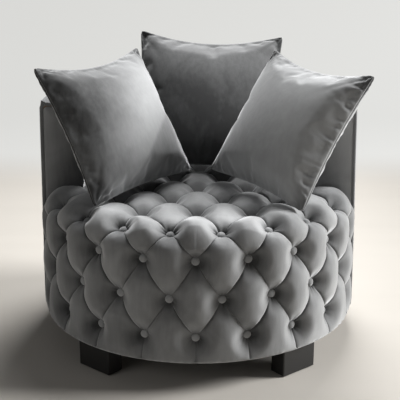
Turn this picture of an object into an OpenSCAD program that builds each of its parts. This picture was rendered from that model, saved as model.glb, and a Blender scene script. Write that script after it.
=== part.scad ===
// Barrel accent chair with a deep-buttoned drum seat, a padded back and three loose pillows.
// The chair faces -Y, with its origin on the floor at the drum's axis.

/* [Chair] */
// Radius of the drum over the crowns of its tufts
seat_r = 460; // [420:1:520]
// Height of the drum's lower edge above the floor
drum_lift = 83; // [60:1:120]
// Height of the crowns of the seat's tufts
seat_h = 445; // [400:1:500]
// Height of the back and arms
back_h = 680; // [620:1:800]
// Angle from the middle of the front to each arm's front face
arm_angle = 80; // [72:1:88]
// Thickness of the padded back at the top of the seat
back_depth = 125; // [105:1:150]
// How much less the back's outer radius is at its top
back_taper = 13; // [0:1:20]
// Radius of the inner edge along the top of the back
back_in_round = 20; // [8:1:30]
// Radius of the outer edge along the top of the back
back_out_round = 15; // [8:1:25]
// Distance of the top seam from the back's outer edge
top_seam_inset = 10; // [6:1:14]

/* [Tufting] */
// Buttons in one row of a full turn
buttons_round = 20; // [16:2:24]
// Height of the lowest button row above the drum's lower edge
low_row = 56; // [40:1:70]
// Radius of the drum's shoulder
shoulder_r = 75; // [60:1:85]
// Distance of the highest button row along the shoulder's curve
shoulder_row = 78; // [70:1:84]
// Depth of the button pits below the crowns
pit_depth = 36; // [30:1:38]
// Depth of the folds between buttons
fold_depth = 16; // [10:1:22]
// Radius of the flat floor of a button pit
pit_flat = 19; // [17:0.5:22]
// Radius at which a pit has run out into the crown
pit_spread = 42; // [34:1:50]
// Distance between the seat's buttons across the seat
seat_gap_x = 143; // [125:1:160]
// Distance between button rows on the seat
seat_gap_y = 113; // [100:1:125]
// Distance of the seat's first button row from the chair's axis
seat_row_1 = 290; // [270:1:300]
// Rows of buttons on the seat
seat_rows = 6; // [3:1:6]
// Diameter of a covered button
button_d = 21; // [16:0.5:24]
// Height of a covered button
button_h = 7; // [5:0.5:9]
// Height of a button's straight edge
button_edge = 2.5; // [1:0.1:4]
// Diameter of the twine that holds a button
twine_d = 2; // [1.5:0.1:3]
// Diameter of the toggle at the twine's end
toggle_d = 12; // [9:0.5:15]
// Thickness of the toggle
toggle_t = 2; // [1.5:0.1:3]
// Diameter of the holes that the twine passes
twine_hole_d = 4; // [3.5:0.1:6]

/* [Frame] */
// Thickness of the plywood base plate
base_t = 18; // [12:1:24]
// Thickness of the plywood seat deck
deck_t = 15; // [12:1:20]
// Thickness of the seat foam between the deck and the cover
seat_foam_t = 62; // [50:1:75]
// Thickness of the seat cover's padding below the crowns
seat_pad_t = 47; // [42:1:55]
// Thickness of the drum's padded cover at its lower edge
band_pad_t = 42; // [38:1:44]
// Thickness of the foam between the drum's board and its cover, at the lower edge
band_foam_t = 23; // [19:1:28]
// Thickness of the bent board round the drum's front
front_board_t = 6; // [4:0.5:9]
// Height of that board's edge above the seat deck
front_board_rise = 24; // [16:1:32]
// Width of the square posts in the drum
drum_post_w = 45; // [35:1:55]
// Distance of the drum posts' centres from the inside of that board
drum_post_inset = 44; // [39:1:54]
// Posts in the drum
drum_posts_n = 10; // [8:1:10]
// Thickness of the foam on the inside of the back
back_foam_t = 62; // [45:1:66]
// Thickness of the bent board inside the back
inner_board_t = 5; // [3:0.5:7]
// Thickness of the back's posts, from front to back
back_post_t = 24; // [18:1:25]
// Width of the back's posts
back_post_w = 45; // [35:1:60]
// Posts in the back
back_posts_n = 7; // [5:1:9]
// Height of the rail along the top of the back
rail_t = 18; // [12:1:24]
// Thickness of the foam over the top rail
top_foam_t = 19; // [12:1:26]
// Thickness of the wadding outside the outer board
wadding_t = 6.5; // [4:0.5:9]
// Thickness of the bent board on the outside of the back
outer_board_t = 4; // [3:0.5:6]
// Thickness of the boards behind the arms' front faces
arm_board_t = 6; // [4:0.5:9]
// Thickness of the velvet covers of the back with their lining
velvet_t = 3; // [2:0.5:4]
// Thickness of the dust cover under the base plate
dust_t = 1.2; // [0.8:0.1:2]

/* [Screws] */
// Diameter of a frame screw
screw_d = 5; // [4:0.5:6]
// Diameter of a frame screw's countersunk head
screw_head_d = 10; // [8:0.5:12]
// Length of a frame screw
screw_l = 50; // [40:1:60]

/* [Legs] */
// Width of a leg along the drum's edge
leg_w = 113; // [90:1:130]
// Thickness of a leg
leg_d = 50; // [44:1:60]
// Distance of a leg's outer face inside the drum's edge
leg_inset = 22; // [15:1:30]
// Angle of a leg from the front or the back
leg_angle = 39; // [35:1:45]
// Radius of a leg's upright edges
leg_round = 3; // [1:0.5:6]
// Thickness of the felt glide under a leg
glide_t = 3; // [2:0.5:5]
// Distance of the glide's edge inside the leg's edge
glide_inset = 8; // [5:1:12]
// Diameter of a leg's hanger bolt
bolt_d = 8; // [6:0.5:9]
// Depth of the bolt in the leg
bolt_in_leg = 35; // [25:1:45]
// Distance between the two bolts of a leg
bolt_gap = 60; // [50:1:70]
// Distance of the bolts' centres from a leg's inner face
bolt_edge = 14; // [12:0.5:15]
// Outer diameter of a tee nut's barrel
nut_d = 10; // [9.5:0.5:12]
// Length of a tee nut
nut_l = 12; // [9:0.5:15]
// Diameter of a tee nut's flange
nut_flange_d = 20; // [17:0.5:22]
// Thickness of a tee nut's flange
nut_flange_t = 1.6; // [1:0.1:2.5]
// Distance of the bolt's end below the top of the base plate
bolt_end = 1; // [0.5:0.1:3]

/* [Pillows] */
// Width of a side pillow, tip to tip
side_pillow_w = 414; // [360:1:430]
// Thickness of a side pillow
side_pillow_t = 135; // [100:1:150]
// Width of the back pillow, tip to tip
back_pillow_w = 472; // [400:1:490]
// Thickness of the back pillow
back_pillow_t = 120; // [100:1:140]
// Share of a pillow's half width by which its sides are drawn in
pillow_pull_share = 0.12; // [0.05:0.01:0.2]
// Thickness of a pillow's cover with its lining
pillow_wall = 4; // [3:0.5:6]
// Distance of the filling's edge inside the pillow's seam
pillow_seam = 12; // [10:1:18]
// Angle that a side pillow is turned from facing the front
side_pillow_turn = 50.6; // [46:0.1:55]
// Angle that the left pillow leans back
left_pillow_lean = 29.3; // [25:0.1:34]
// Angle that the left pillow is tipped on its corner
left_pillow_tip = 3.3; // [0:0.1:6]
// Distance of the left pillow's inner corner from the chair's middle
left_pillow_gap = 15; // [12:1:30]
// Angle that the right pillow leans back
right_pillow_lean = 32; // [27:0.1:36]
// Angle that the right pillow is tipped on its corner
right_pillow_tip = 5.5; // [0:0.1:7]
// Distance of the right pillow's inner corner from the chair's middle
right_pillow_gap = 32; // [20:1:45]
// Angle that the back pillow leans back
back_pillow_lean = 30.9; // [27:0.1:34]
// Angle that the back pillow is tipped on its corner
back_pillow_tip = 2.6; // [0:0.1:5]
// Distance of the back pillow's middle from the chair's middle
back_pillow_shift = 16; // [0:1:30]
// Rise of the left pillow above the place where its points would touch the tufts
left_pillow_rise = -5; // [-6:0.1:4]
// Rise of the right pillow above the place where its points would touch the tufts
right_pillow_rise = -5.1; // [-6:0.1:4]
// Rise of the back pillow above the place where its points would touch the tufts
back_pillow_rise = 0.2; // [-4:0.1:4]

/* [Fits] */
// Gap left round a soft piece
soft_gap = 0.3; // [0.2:0.05:0.5]
// Gap round a screw, bolt or insert in its hole
hole_gap = 0.1; // [0.05:0.05:0.2]
// Extra reach of a cut past the face that it opens
cut_over = 5; // [2:1:8]
// Rise of a button above the floor of its pit
button_rise = 1; // [0.8:0.1:1.5]

/* [Hidden] */

velvet = [0.45, 0.46, 0.47];
velvet_dark = [0.38, 0.39, 0.4];
plywood = [0.78, 0.64, 0.46];
fibreboard = [0.55, 0.42, 0.3];
foam_colour = [0.93, 0.88, 0.7];
wadding_colour = [0.92, 0.92, 0.9];
leg_black = [0.05, 0.05, 0.05];
felt_grey = [0.25, 0.25, 0.25];
zinc = [0.72, 0.73, 0.75];
twine_colour = [0.85, 0.82, 0.72];
cambric_black = [0.08, 0.08, 0.08];

// Heights
base_z = drum_lift + dust_t;
base_top = base_z + base_t;
pad_base_z = seat_h - seat_pad_t;
deck_top = pad_base_z - seat_foam_t;
deck_z = deck_top - deck_t;
soft_base_z = drum_lift + soft_gap;
rail_top = back_h - velvet_t - top_foam_t;
rail_z = rail_top - rail_t;

// Radii
back_in_r = seat_r - back_depth;
band_in_r = seat_r - band_pad_t;
front_board_r = band_in_r - band_foam_t;
deck_front_r = front_board_r - front_board_t;
drum_post_r = deck_front_r - drum_post_inset;
inner_board_r = back_in_r + velvet_t + back_foam_t;
inner_board_out_r = inner_board_r + inner_board_t;
shoulder_x = seat_r - shoulder_r;
shoulder_z = seat_h - shoulder_r;
leg_r = seat_r - leg_inset - leg_d / 2;
far = 2 * seat_r;
function back_r(z) = seat_r - back_taper * (z - drum_lift) / (back_h - drum_lift);
outer_skin_t = velvet_t + wadding_t + outer_board_t;

// Gap between round pieces and the flat facets of the drum's cover
facet_gap = 3 * soft_gap;

// Round the drum, one lattice step is half the distance between two buttons
step_angle = 180 / buttons_round;
step_arc = step_angle * PI / 180 * seat_r;
low_row_z = drum_lift + low_row;
row_count = 3;
shoulder_s = shoulder_z + shoulder_row;
row_gap = (shoulder_s - low_row_z) / row_count;
column_shares = [0, 0.17, 0.5, 0.83];
end_angle = arm_angle - soft_gap / seat_r * 180 / PI;
last_column = floor(end_angle / step_angle - 0.1);
last_button_column = floor((end_angle - asin(pit_flat / seat_r)) / step_angle);
pillow_cells = 14;
filling_cells = 8;
pillow_edge_power = 0.55;
round_fn = 96;
small_fn = 32;
arc_steps = 8;

// Nearest point of the diamond lattice, where buttons are
function nearest(u, v) = let (s = round((u + v) / 2), t = round((u - v) / 2)) [s + t, s - t];
function smooth(x) = let (c = min(max(x, 0), 1)) c * c * (3 - 2 * c);
// Rise of the crown inside a diamond, from 0 on its folds to 1 in the middle
function crown(u, v) = sqrt(abs(sin(90 * (u + v)) * sin(90 * (u - v))));
function pleat(u) = abs(sin(90 * u));
function pit_share(d) = smooth((d - pit_flat) / (pit_spread - pit_flat));
function tuft_depth(u, v, du, dv) = let (
        b = nearest(u, v),
        w = pit_share(norm([(u - b.x) * du, (v - b.y) * dv])),
        rise = v < 0 ? pleat(u) : crown(u, v))
    pit_depth * (1 - w) + fold_depth * (1 - rise) * w;

// The drum's profile: straight up the side and round the shoulder, by distance along it
function profile_angle(s) = max(0, s - shoulder_z) / shoulder_r * 180 / PI;
function profile_point(s, depth) = let (a = profile_angle(s))
    [shoulder_x + (shoulder_r - depth) * cos(a), min(s, shoulder_z) + (shoulder_r - depth) * sin(a)];
shoulder_angle = profile_angle(shoulder_s);
shoulder_pit = profile_point(shoulder_s, pit_depth);
shoulder_mouth_share = 0.07;
split_r = shoulder_pit.x - shoulder_mouth_share * pit_depth;

// Height of the seat's tufts, whose pits also follow the ring of shoulder buttons
function ring_column(a) = 2 * floor(a / step_angle / 2) + 1;
function ring_distance(x, y) = let (
        a = atan2(x, -y),
        c = ring_column(a) * step_angle)
    norm([x - shoulder_pit.x * sin(c), y + shoulder_pit.x * cos(c)]);
function shoulder_drop(r) = r < shoulder_x ? 0
    : shoulder_r - sqrt(pow(shoulder_r, 2) - pow(min(r, split_r) - shoulder_x, 2));
function seat_depth(x, y) = max(
    tuft_depth(2 * x / seat_gap_x, (y + seat_row_1) / seat_gap_y, seat_gap_x / 2, seat_gap_y),
    (seat_h - shoulder_drop(split_r) - shoulder_pit.y) * (1 - pit_share(ring_distance(x, y))));
function seat_z(x, y) = seat_h - shoulder_drop(norm([x, y])) - seat_depth(x, y);

// Faces of a row of equal rings, each a closed loop of points, with flat ends. The marks are the
// lattice steps of the rings and of the points on a ring, so that faces meet along the folds.
function loft_faces(ring_marks, point_marks, size) = let (rings = len(ring_marks)) concat(
    [[for (k = [0 : size - 1]) k]],
    [for (i = [0 : rings - 2], k = [0 : size - 1], half = [0, 1])
        let (
            a = i * size + k,
            b = i * size + (k + 1) % size,
            c = b + size,
            d = a + size,
            tufted = k < len(point_marks) - 1,
            cell = floor((ring_marks[i] + ring_marks[i + 1]) / 2)
                + (tufted ? floor((point_marks[k] + point_marks[k + 1]) / 2) : 0),
            along = tufted && cell % 2 == 0)
        along ? (half == 0 ? [a, d, c] : [a, c, b]) : (half == 0 ? [a, d, b] : [b, d, c])],
    [[for (k = [size - 1 : -1 : 0]) (rings - 1) * size + k]]);

// Places on the drum's side, a column at an angle from the front
module at_side(angle, r, z, tilt = 0) {
    rotate([0, 0, angle - 90]) translate([r, 0, z]) rotate([0, 90 - tilt, 0]) children();
}

// The part of the plan in front of the arms' front faces, moved back by d
module front_zone(d) {
    reach = far / cos(arm_angle / 2);
    translate([0, d / sin(arm_angle)]) polygon([
        [0, 0],
        [-reach * sin(arm_angle), -reach * cos(arm_angle)],
        [-reach * sin(arm_angle / 2), -reach * cos(arm_angle / 2)],
        [0, -reach],
        [reach * sin(arm_angle / 2), -reach * cos(arm_angle / 2)],
        [reach * sin(arm_angle), -reach * cos(arm_angle)]
    ]);
}

// A disc with one radius in front of the arms and another behind them
module two_radius_disc(front_r, rear_r, d) {
    circle(r = min(front_r, rear_r), $fn = round_fn);
    intersection() {
        circle(r = front_r, $fn = round_fn);
        front_zone(d);
    }
    difference() {
        circle(r = rear_r, $fn = round_fn);
        front_zone(d);
    }
}

// Keeps what lies behind the arms' front faces, by the distance d
module behind_arms(d) {
    difference() {
        children();
        translate([0, 0, -cut_over]) linear_extrude(back_h + 2 * cut_over) front_zone(d);
    }
}

module in_front_of_arms(d) {
    intersection() {
        children();
        translate([0, 0, -cut_over]) linear_extrude(back_h + 2 * cut_over) front_zone(-d);
    }
}

// Points along an arc, from one angle to another
function arc(x, y, r, from, to) = [
    for (i = [0 : arc_steps]) let (a = from + (to - from) * i / arc_steps) [x + r * cos(a), y + r * sin(a)]
];

// The back's section, drawn as radius and height, with each face moved in by a distance
module back_section(inset, low) {
    in_round = back_in_round - inset;
    out_round = back_out_round - inset;
    top = back_h - inset;
    in_x = back_in_r + inset;
    out_z = top - out_round;
    out_x = back_r(out_z) - inset;
    polygon(concat(
        [[back_r(low) - inset, low], [in_x, low]],
        arc(in_x + in_round, top - in_round, in_round, 180, 90),
        arc(out_x - out_round, out_z, out_round, 90, 0)));
}

module back_skin(low) {
    difference() {
        back_section(0, low);
        back_section(velvet_t, low - cut_over);
    }
}

seam_r = back_r(back_h) - top_seam_inset;

// A tapering shell round the back, from one distance inside the outer face to another
module outer_shell(skin_in, skin_out, low, high) {
    rotate_extrude($fn = round_fn) polygon([
        [back_r(low) - skin_out, low], [back_r(low) - skin_in, low],
        [back_r(high) - skin_in, high], [back_r(high) - skin_out, high]
    ]);
}

// Places of legs and their bolts
module each_leg() {
    for (angle = [-leg_angle, leg_angle, 180 - leg_angle, 180 + leg_angle]) leg_place(angle) children();
}

module leg_place(angle) {
    rotate([0, 0, angle]) translate([0, -leg_r, 0]) children();
}

// The drum's padded cover has a slanted inner face, at this radius
function band_in(z) = band_in_r
    - (band_in_r - split_r) * (z - soft_base_z) / (pad_base_z - soft_base_z);

module each_leg_bolt() {
    for (x = [-bolt_gap / 2, bolt_gap / 2]) translate([x, leg_d / 2 - bolt_edge, 0]) children();
}

// Places of the drum's posts
post_angle = 360 / drum_posts_n;
module each_drum_post() {
    for (i = [0 : drum_posts_n - 1]) {
        rotate([0, 0, (i + 1 / 2) * post_angle]) translate([0, -drum_post_r, 0]) children();
    }
}

// Places of the seat's buttons
function seat_reach(x, y) = abs(atan2(x, -y)) < arm_angle ? split_r - pit_spread : back_in_r - pit_flat;
function seat_column_list(row) = [for (c = [-6 : 6]) if ((c + row) % 2 == 0) c];
seat_places = [
    for (row = [0 : seat_rows - 1], c = seat_column_list(row))
        let (x = c * seat_gap_x / 2, y = row * seat_gap_y - seat_row_1)
        if (norm([x, y]) < seat_reach(x, y)) [x, y]
];

// Columns of the drum's buttons in a row, of the same parity as the row
function band_columns(row) = [
    for (c = [-last_button_column : last_button_column]) if (abs(c + row) % 2 == 0) c
];

arm_skin_t = velvet_t + arm_board_t + 2 * soft_gap;
base_front_r = band_in(base_top) - facet_gap;
base_rear_r = back_r(base_top) - outer_skin_t - hole_gap;
screw_cone_h = (screw_head_d - screw_d) / 2;
hole_d = screw_d + 2 * hole_gap;

// A hole for a countersunk screw that enters a face at the origin and goes down
module screw_hole(depth) {
    translate([0, 0, -depth - cut_over])
        cylinder(d = hole_d, h = depth + 2 * cut_over, $fn = small_fn);
    translate([0, 0, -screw_cone_h])
        cylinder(d1 = hole_d, d2 = screw_head_d + 2 * hole_gap, h = screw_cone_h, $fn = small_fn);
}

module screw() {
    translate([0, 0, -screw_l]) cylinder(d = screw_d, h = screw_l - screw_cone_h, $fn = small_fn);
    translate([0, 0, -screw_cone_h])
        cylinder(d1 = screw_d, d2 = screw_head_d, h = screw_cone_h, $fn = small_fn);
}

module base_plate() {
    color(plywood) difference() {
        translate([0, 0, base_z]) linear_extrude(base_t)
            two_radius_disc(base_front_r, base_rear_r, arm_skin_t);
        each_leg() each_leg_bolt() tee_nut_hole(base_z, base_top);
        each_drum_post() translate([0, 0, base_z]) rotate([180, 0, 0]) screw_hole(base_t);
    }
}

module tee_nut_hole(low, high) {
    translate([0, 0, low - cut_over])
        cylinder(d = nut_d + 2 * hole_gap, h = high - low + 2 * cut_over, $fn = small_fn);
    translate([0, 0, base_top - nut_flange_t - hole_gap])
        cylinder(d = nut_flange_d + 2 * hole_gap, h = cut_over, $fn = small_fn);
}

module dust_cover() {
    color(cambric_black) difference() {
        translate([0, 0, drum_lift]) linear_extrude(dust_t)
            two_radius_disc(base_front_r, base_rear_r, arm_skin_t);
        each_leg() each_leg_bolt() translate([0, 0, drum_lift - cut_over])
            cylinder(d = nut_d + 2 * hole_gap, h = dust_t + 2 * cut_over, $fn = small_fn);
    }
}

module drum_posts() {
    color(plywood) each_drum_post() difference() {
        translate([-drum_post_w / 2, -drum_post_w / 2, base_top])
            cube([drum_post_w, drum_post_w, deck_z - base_top]);
        post_bore(base_top, screw_l - base_t);
        translate([0, 0, 2 * deck_z]) mirror([0, 0, 1]) post_bore(deck_z, screw_l - deck_t);
    }
}

// A screw's bore up into a post from a height
module post_bore(low, depth) {
    translate([0, 0, low - cut_over])
        cylinder(d = hole_d, h = depth + cut_over + hole_gap, $fn = small_fn);
}

module seat_deck() {
    color(plywood) difference() {
        translate([0, 0, deck_z]) linear_extrude(deck_t)
            two_radius_disc(deck_front_r - hole_gap, inner_board_out_r, arm_skin_t);
        for (place = seat_places) translate([place.x, place.y, deck_z - cut_over])
            cylinder(d = twine_hole_d, h = deck_t + 2 * cut_over, $fn = small_fn);
        for (c = band_columns(row_count)) shoulder_twine(c * step_angle, twine_hole_d);
        each_drum_post() translate([0, 0, deck_top]) screw_hole(deck_t);
    }
}

module deck_screws() {
    color(zinc) each_drum_post() translate([0, 0, deck_top]) screw();
}

module base_screws() {
    color(zinc) each_drum_post() translate([0, 0, base_z]) mirror([0, 0, 1]) screw();
}

front_board_top = deck_top + front_board_rise;

module front_board() {
    color(fibreboard) difference() {
        in_front_of_arms(soft_gap) rotate_extrude($fn = round_fn)
            translate([deck_front_r, base_top]) square([front_board_t, front_board_top - base_top]);
        for (row = [0 : row_count - 1], c = band_columns(row))
            at_side(c * step_angle, deck_front_r - cut_over, low_row_z + row * row_gap)
                cylinder(d = twine_hole_d, h = front_board_t + 2 * cut_over, $fn = small_fn);
    }
}

// The back's posts stand between the base plate and the top rail
back_post_r = inner_board_out_r + hole_gap;
back_post_inset = asin((arm_skin_t + back_post_w) / back_post_r);
back_post_step = (360 - 2 * arm_angle - 2 * back_post_inset) / (back_posts_n - 1);

module back_posts() {
    color(plywood) for (i = [0 : back_posts_n - 1])
        rotate([0, 0, arm_angle + back_post_inset + i * back_post_step])
            translate([-back_post_w / 2, -back_post_r - back_post_t, base_top])
                cube([back_post_w, back_post_t, rail_z - base_top]);
}

module back_top_rail() {
    color(plywood) behind_arms(arm_skin_t) rotate_extrude($fn = round_fn)
        translate([back_post_r, rail_z])
            square([back_r(rail_top) - outer_skin_t - hole_gap - back_post_r, rail_t]);
}

module back_inner_board() {
    color(fibreboard) behind_arms(arm_skin_t) rotate_extrude($fn = round_fn)
        translate([inner_board_r, deck_top]) square([inner_board_t, rail_top - deck_top]);
}

module back_outer_board() {
    color(fibreboard) behind_arms(arm_skin_t)
        outer_shell(outer_skin_t - outer_board_t, outer_skin_t, base_z, rail_top);
}

module back_wadding() {
    color(wadding_colour) behind_arms(arm_skin_t)
        outer_shell(velvet_t + soft_gap, outer_skin_t - outer_board_t - soft_gap, base_z, rail_top);
}

module back_foam() {
    color(foam_colour) behind_arms(arm_skin_t) rotate_extrude($fn = round_fn) difference() {
        back_section(velvet_t + soft_gap, deck_top);
        translate([inner_board_r - soft_gap, 0]) square([far, rail_top + soft_gap]);
    }
}

module inside_back_cover() {
    color(velvet) behind_arms(velvet_t + soft_gap) rotate_extrude($fn = round_fn) intersection() {
        back_skin(deck_top + soft_gap);
        square([seam_r - soft_gap / 2, back_h + cut_over]);
    }
}

module outside_back_cover() {
    color(velvet) behind_arms(velvet_t + soft_gap) rotate_extrude($fn = round_fn) intersection() {
        back_skin(soft_base_z);
        translate([seam_r + soft_gap / 2, 0]) square([far, back_h + cut_over]);
    }
}

// The outline of an arm's front, less the drum's padding and the seat
module arm_outline(inset) {
    difference() {
        back_section(inset, soft_base_z);
        square([band_in_r + soft_gap, deck_top + soft_gap]);
    }
}

// A flat piece behind an arm's front face, on the right side
module arm_piece(inset, depth, t) {
    rotate([0, 0, arm_angle - 90]) translate([0, depth + t, 0]) rotate([90, 0, 0])
        linear_extrude(t) arm_outline(inset);
}

module right_arm_cover() {
    color(velvet) arm_piece(0, 0, velvet_t);
}

module left_arm_cover() {
    color(velvet) mirror([1, 0, 0]) arm_piece(0, 0, velvet_t);
}

module right_arm_board() {
    color(fibreboard) arm_piece(velvet_t + soft_gap, velvet_t + soft_gap, arm_board_t);
}

module left_arm_board() {
    color(fibreboard) mirror([1, 0, 0]) arm_piece(velvet_t + soft_gap, velvet_t + soft_gap, arm_board_t);
}

module seat_foam() {
    color(foam_colour) translate([0, 0, deck_top]) linear_extrude(seat_foam_t - soft_gap)
        two_radius_disc(deck_front_r - soft_gap, back_in_r - soft_gap, -soft_gap);
}

// Lines of the seat's grid, in lattice steps, closer together beside the buttons
seat_shares = [0, 0.18, 0.82];
function lattice_lines(low, high) = concat(
    [low],
    [for (c = [floor(low) : ceil(high)], s = seat_shares) if (c + s > low && c + s < high) c + s],
    [high]);
seat_columns = lattice_lines(-2 * (split_r + cut_over) / seat_gap_x, 2 * (split_r + cut_over) / seat_gap_x);
seat_lines = lattice_lines((seat_row_1 - split_r - cut_over) / seat_gap_y,
                           (seat_row_1 + back_in_r + cut_over) / seat_gap_y);

// A slab with a flat base and the tufted top, wider than the seat
function seat_ring(line) = let (y = line * seat_gap_y - seat_row_1, edge = seat_gap_x / 2)
    concat(
        [for (c = seat_columns) [c * edge, y, seat_z(c * edge, y)]],
        [for (c = [seat_columns[len(seat_columns) - 1], seat_columns[0]]) [c * edge, y, pad_base_z]]);

module seat_slab() {
    rings = [for (line = seat_lines) seat_ring(line)];
    polyhedron([for (ring = rings, p = ring) p], loft_faces(seat_lines, seat_columns, len(rings[0])));
}

module seat_cover() {
    color(velvet) difference() {
        intersection() {
            seat_slab();
            translate([0, 0, pad_base_z - cut_over]) linear_extrude(seat_pad_t + 2 * cut_over)
                two_radius_disc(split_r - facet_gap, back_in_r - soft_gap, -soft_gap);
        }
        for (c = band_columns(row_count))
            at_side(c * step_angle, shoulder_seat.x, shoulder_seat.y, shoulder_angle)
                cylinder(d = button_d + 2 * button_rise, h = pit_depth, $fn = small_fn);
    }
}

// Height of the seat's facets at a place, and of the drum's shoulder outside them
function cell(marks, x) = max([for (i = [0 : len(marks) - 2]) if (i == 0 || marks[i] <= x) i]);
function grid_z(u, v) = seat_z(u * seat_gap_x / 2, v * seat_gap_y - seat_row_1);
function seat_facet_z(x, y) = let (
        u = 2 * x / seat_gap_x,
        v = (y + seat_row_1) / seat_gap_y,
        k = cell(seat_columns, u),
        i = cell(seat_lines, v),
        low_u = seat_columns[k],
        low_v = seat_lines[i],
        high_u = seat_columns[k + 1],
        high_v = seat_lines[i + 1],
        p = (u - low_u) / (high_u - low_u),
        q = (v - low_v) / (high_v - low_v),
        z = grid_z(low_u, low_v),
        z_u = grid_z(high_u, low_v),
        z_v = grid_z(low_u, high_v),
        z_uv = grid_z(high_u, high_v),
        along = (floor((low_u + high_u) / 2) + floor((low_v + high_v) / 2)) % 2 == 0)
    along ? (p > q ? z + p * (z_u - z) + q * (z_uv - z_u) : z + q * (z_v - z) + p * (z_uv - z_v))
    : p + q < 1 ? z + p * (z_u - z) + q * (z_v - z)
    : z_uv + (1 - p) * (z_v - z_uv) + (1 - q) * (z_u - z_uv);
function shoulder_z_at(x, y) = let (
        a = acos(min(1, (norm([x, y]) - shoulder_x) / shoulder_r)),
        v = (shoulder_z + shoulder_r * a * PI / 180 - low_row_z) / row_gap)
    shoulder_z + shoulder_r * sin(a) - tuft_depth(atan2(x, -y) / step_angle, v, step_arc, row_gap);
function rest_z(x, y) = norm([x, y]) < split_r ? seat_facet_z(x, y) : shoulder_z_at(x, y);

module front_foam() {
    color(foam_colour) in_front_of_arms(soft_gap) rotate_extrude($fn = round_fn) polygon([
        [front_board_r + soft_gap, base_top + soft_gap],
        [band_in(base_top) - facet_gap, base_top + soft_gap],
        [split_r - facet_gap, pad_base_z - soft_gap],
        [deck_front_r, pad_base_z - soft_gap],
        [deck_front_r, front_board_top + soft_gap],
        [front_board_r + soft_gap, front_board_top + soft_gap]
    ]);
}

// Columns of the drum's cover, in lattice steps from the middle of the front
end_column = end_angle / step_angle;
drum_columns = concat(
    [-end_column], [-last_column - column_shares[1]],
    [for (c = [-last_column : last_column - 1], s = column_shares) c + s],
    [last_column], [last_column + column_shares[1]], [end_column]);
drum_lines = concat(
    [-column_shares[1]], [for (c = [0 : row_count - 1], s = column_shares) c + s], [row_count]);
rim_pull_share = 0.22;

// The section of the drum's cover at a column, from the right arm to the left one: up its tufts and
// down its inner face
function drum_ring(u) = let (
        a = u * step_angle,
        low_depth = pit_depth * rim_pull_share + fold_depth * (1 - pleat(u)) / 2,
        outside = concat(
            [[seat_r - low_depth, soft_base_z]],
            [for (v = drum_lines)
                profile_point(low_row_z + v * row_gap, tuft_depth(u, v, step_arc, row_gap))],
            [[split_r, seat_z(split_r * sin(a), -split_r * cos(a))]]),
        section = concat(outside, [[split_r, pad_base_z], [band_in_r, soft_base_z]]))
    [for (p = section) [-p.x * sin(a), -p.x * cos(a), p.y]];

module front_cover() {
    rings = [for (u = drum_columns) drum_ring(u)];
    color(velvet) polyhedron([for (ring = rings, p = ring) p],
        loft_faces(drum_columns, concat([-1], drum_lines, [row_count + 1]), len(rings[0])));
}

// A covered button with a flat back at the origin and a domed face
dome_h = button_h - button_edge;
dome_r = (pow(button_d / 2, 2) + pow(dome_h, 2)) / (2 * dome_h);
module button() {
    cylinder(d = button_d, h = button_edge, $fn = small_fn);
    translate([0, 0, button_edge]) intersection() {
        translate([0, 0, dome_h - dome_r]) sphere(r = dome_r, $fn = round_fn);
        cylinder(d = button_d, h = dome_h, $fn = small_fn);
    }
}

button_pit_r = seat_r - pit_depth + button_rise;
module row_buttons(row) {
    for (c = band_columns(row)) at_side(c * step_angle, button_pit_r, low_row_z + row * row_gap) button();
}

module lower_buttons() {
    color(velvet_dark) row_buttons(0);
}

module middle_buttons() {
    color(velvet_dark) row_buttons(1);
}

module upper_buttons() {
    color(velvet_dark) row_buttons(2);
}

shoulder_seat = profile_point(shoulder_s, pit_depth - button_rise);
module shoulder_buttons() {
    color(velvet_dark) for (c = band_columns(row_count))
        at_side(c * step_angle, shoulder_seat.x, shoulder_seat.y, shoulder_angle) button();
}

seat_button_z = seat_h - pit_depth + button_rise;
module seat_buttons() {
    color(velvet_dark) for (place = seat_places) translate([place.x, place.y, seat_button_z]) button();
}

module seat_ties() {
    color(twine_colour) for (place = seat_places) translate([place.x, place.y, 0]) {
        translate([0, 0, deck_z]) cylinder(d = twine_d, h = seat_button_z - deck_z, $fn = small_fn);
        translate([0, 0, deck_z - toggle_t]) cylinder(d = toggle_d, h = toggle_t, $fn = small_fn);
    }
}

// The slanting line from a shoulder button to the underside of the deck
shoulder_drop_h = shoulder_seat.y - deck_z;
shoulder_foot_x = shoulder_seat.x - shoulder_drop_h / tan(shoulder_angle);
module shoulder_twine(angle, d, over = cut_over) {
    at_side(angle, shoulder_seat.x, shoulder_seat.y, shoulder_angle)
        translate([0, 0, -shoulder_drop_h / sin(shoulder_angle) - over])
            cylinder(d = d, h = shoulder_drop_h / sin(shoulder_angle) + over, $fn = small_fn);
}

module shoulder_ties() {
    color(twine_colour) for (c = band_columns(row_count)) {
        shoulder_twine(c * step_angle, twine_d, toggle_t / 2);
        rotate([0, 0, c * step_angle]) translate([0, -shoulder_foot_x, deck_z - toggle_t])
            cylinder(d = toggle_d, h = toggle_t, $fn = small_fn);
    }
}

module front_ties() {
    color(twine_colour) for (row = [0 : row_count - 1], c = band_columns(row))
        at_side(c * step_angle, deck_front_r, low_row_z + row * row_gap) {
            cylinder(d = twine_d, h = button_pit_r - deck_front_r, $fn = small_fn);
            translate([0, 0, -toggle_t - hole_gap])
                cylinder(d = toggle_d, h = toggle_t, $fn = small_fn);
            translate([0, 0, -toggle_t]) cylinder(d = twine_d, h = toggle_t, $fn = small_fn);
        }
}

// A leg's outline in plan, with its upright edges rounded
module leg_outline(inset) {
    w = leg_w - 2 * inset;
    d = leg_d - 2 * inset;
    square([w - 2 * leg_round, d], center = true);
    square([w, d - 2 * leg_round], center = true);
    for (x = [-1, 1], y = [-1, 1])
        translate([x * (w / 2 - leg_round), y * (d / 2 - leg_round)]) circle(r = leg_round, $fn = small_fn);
}

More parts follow.
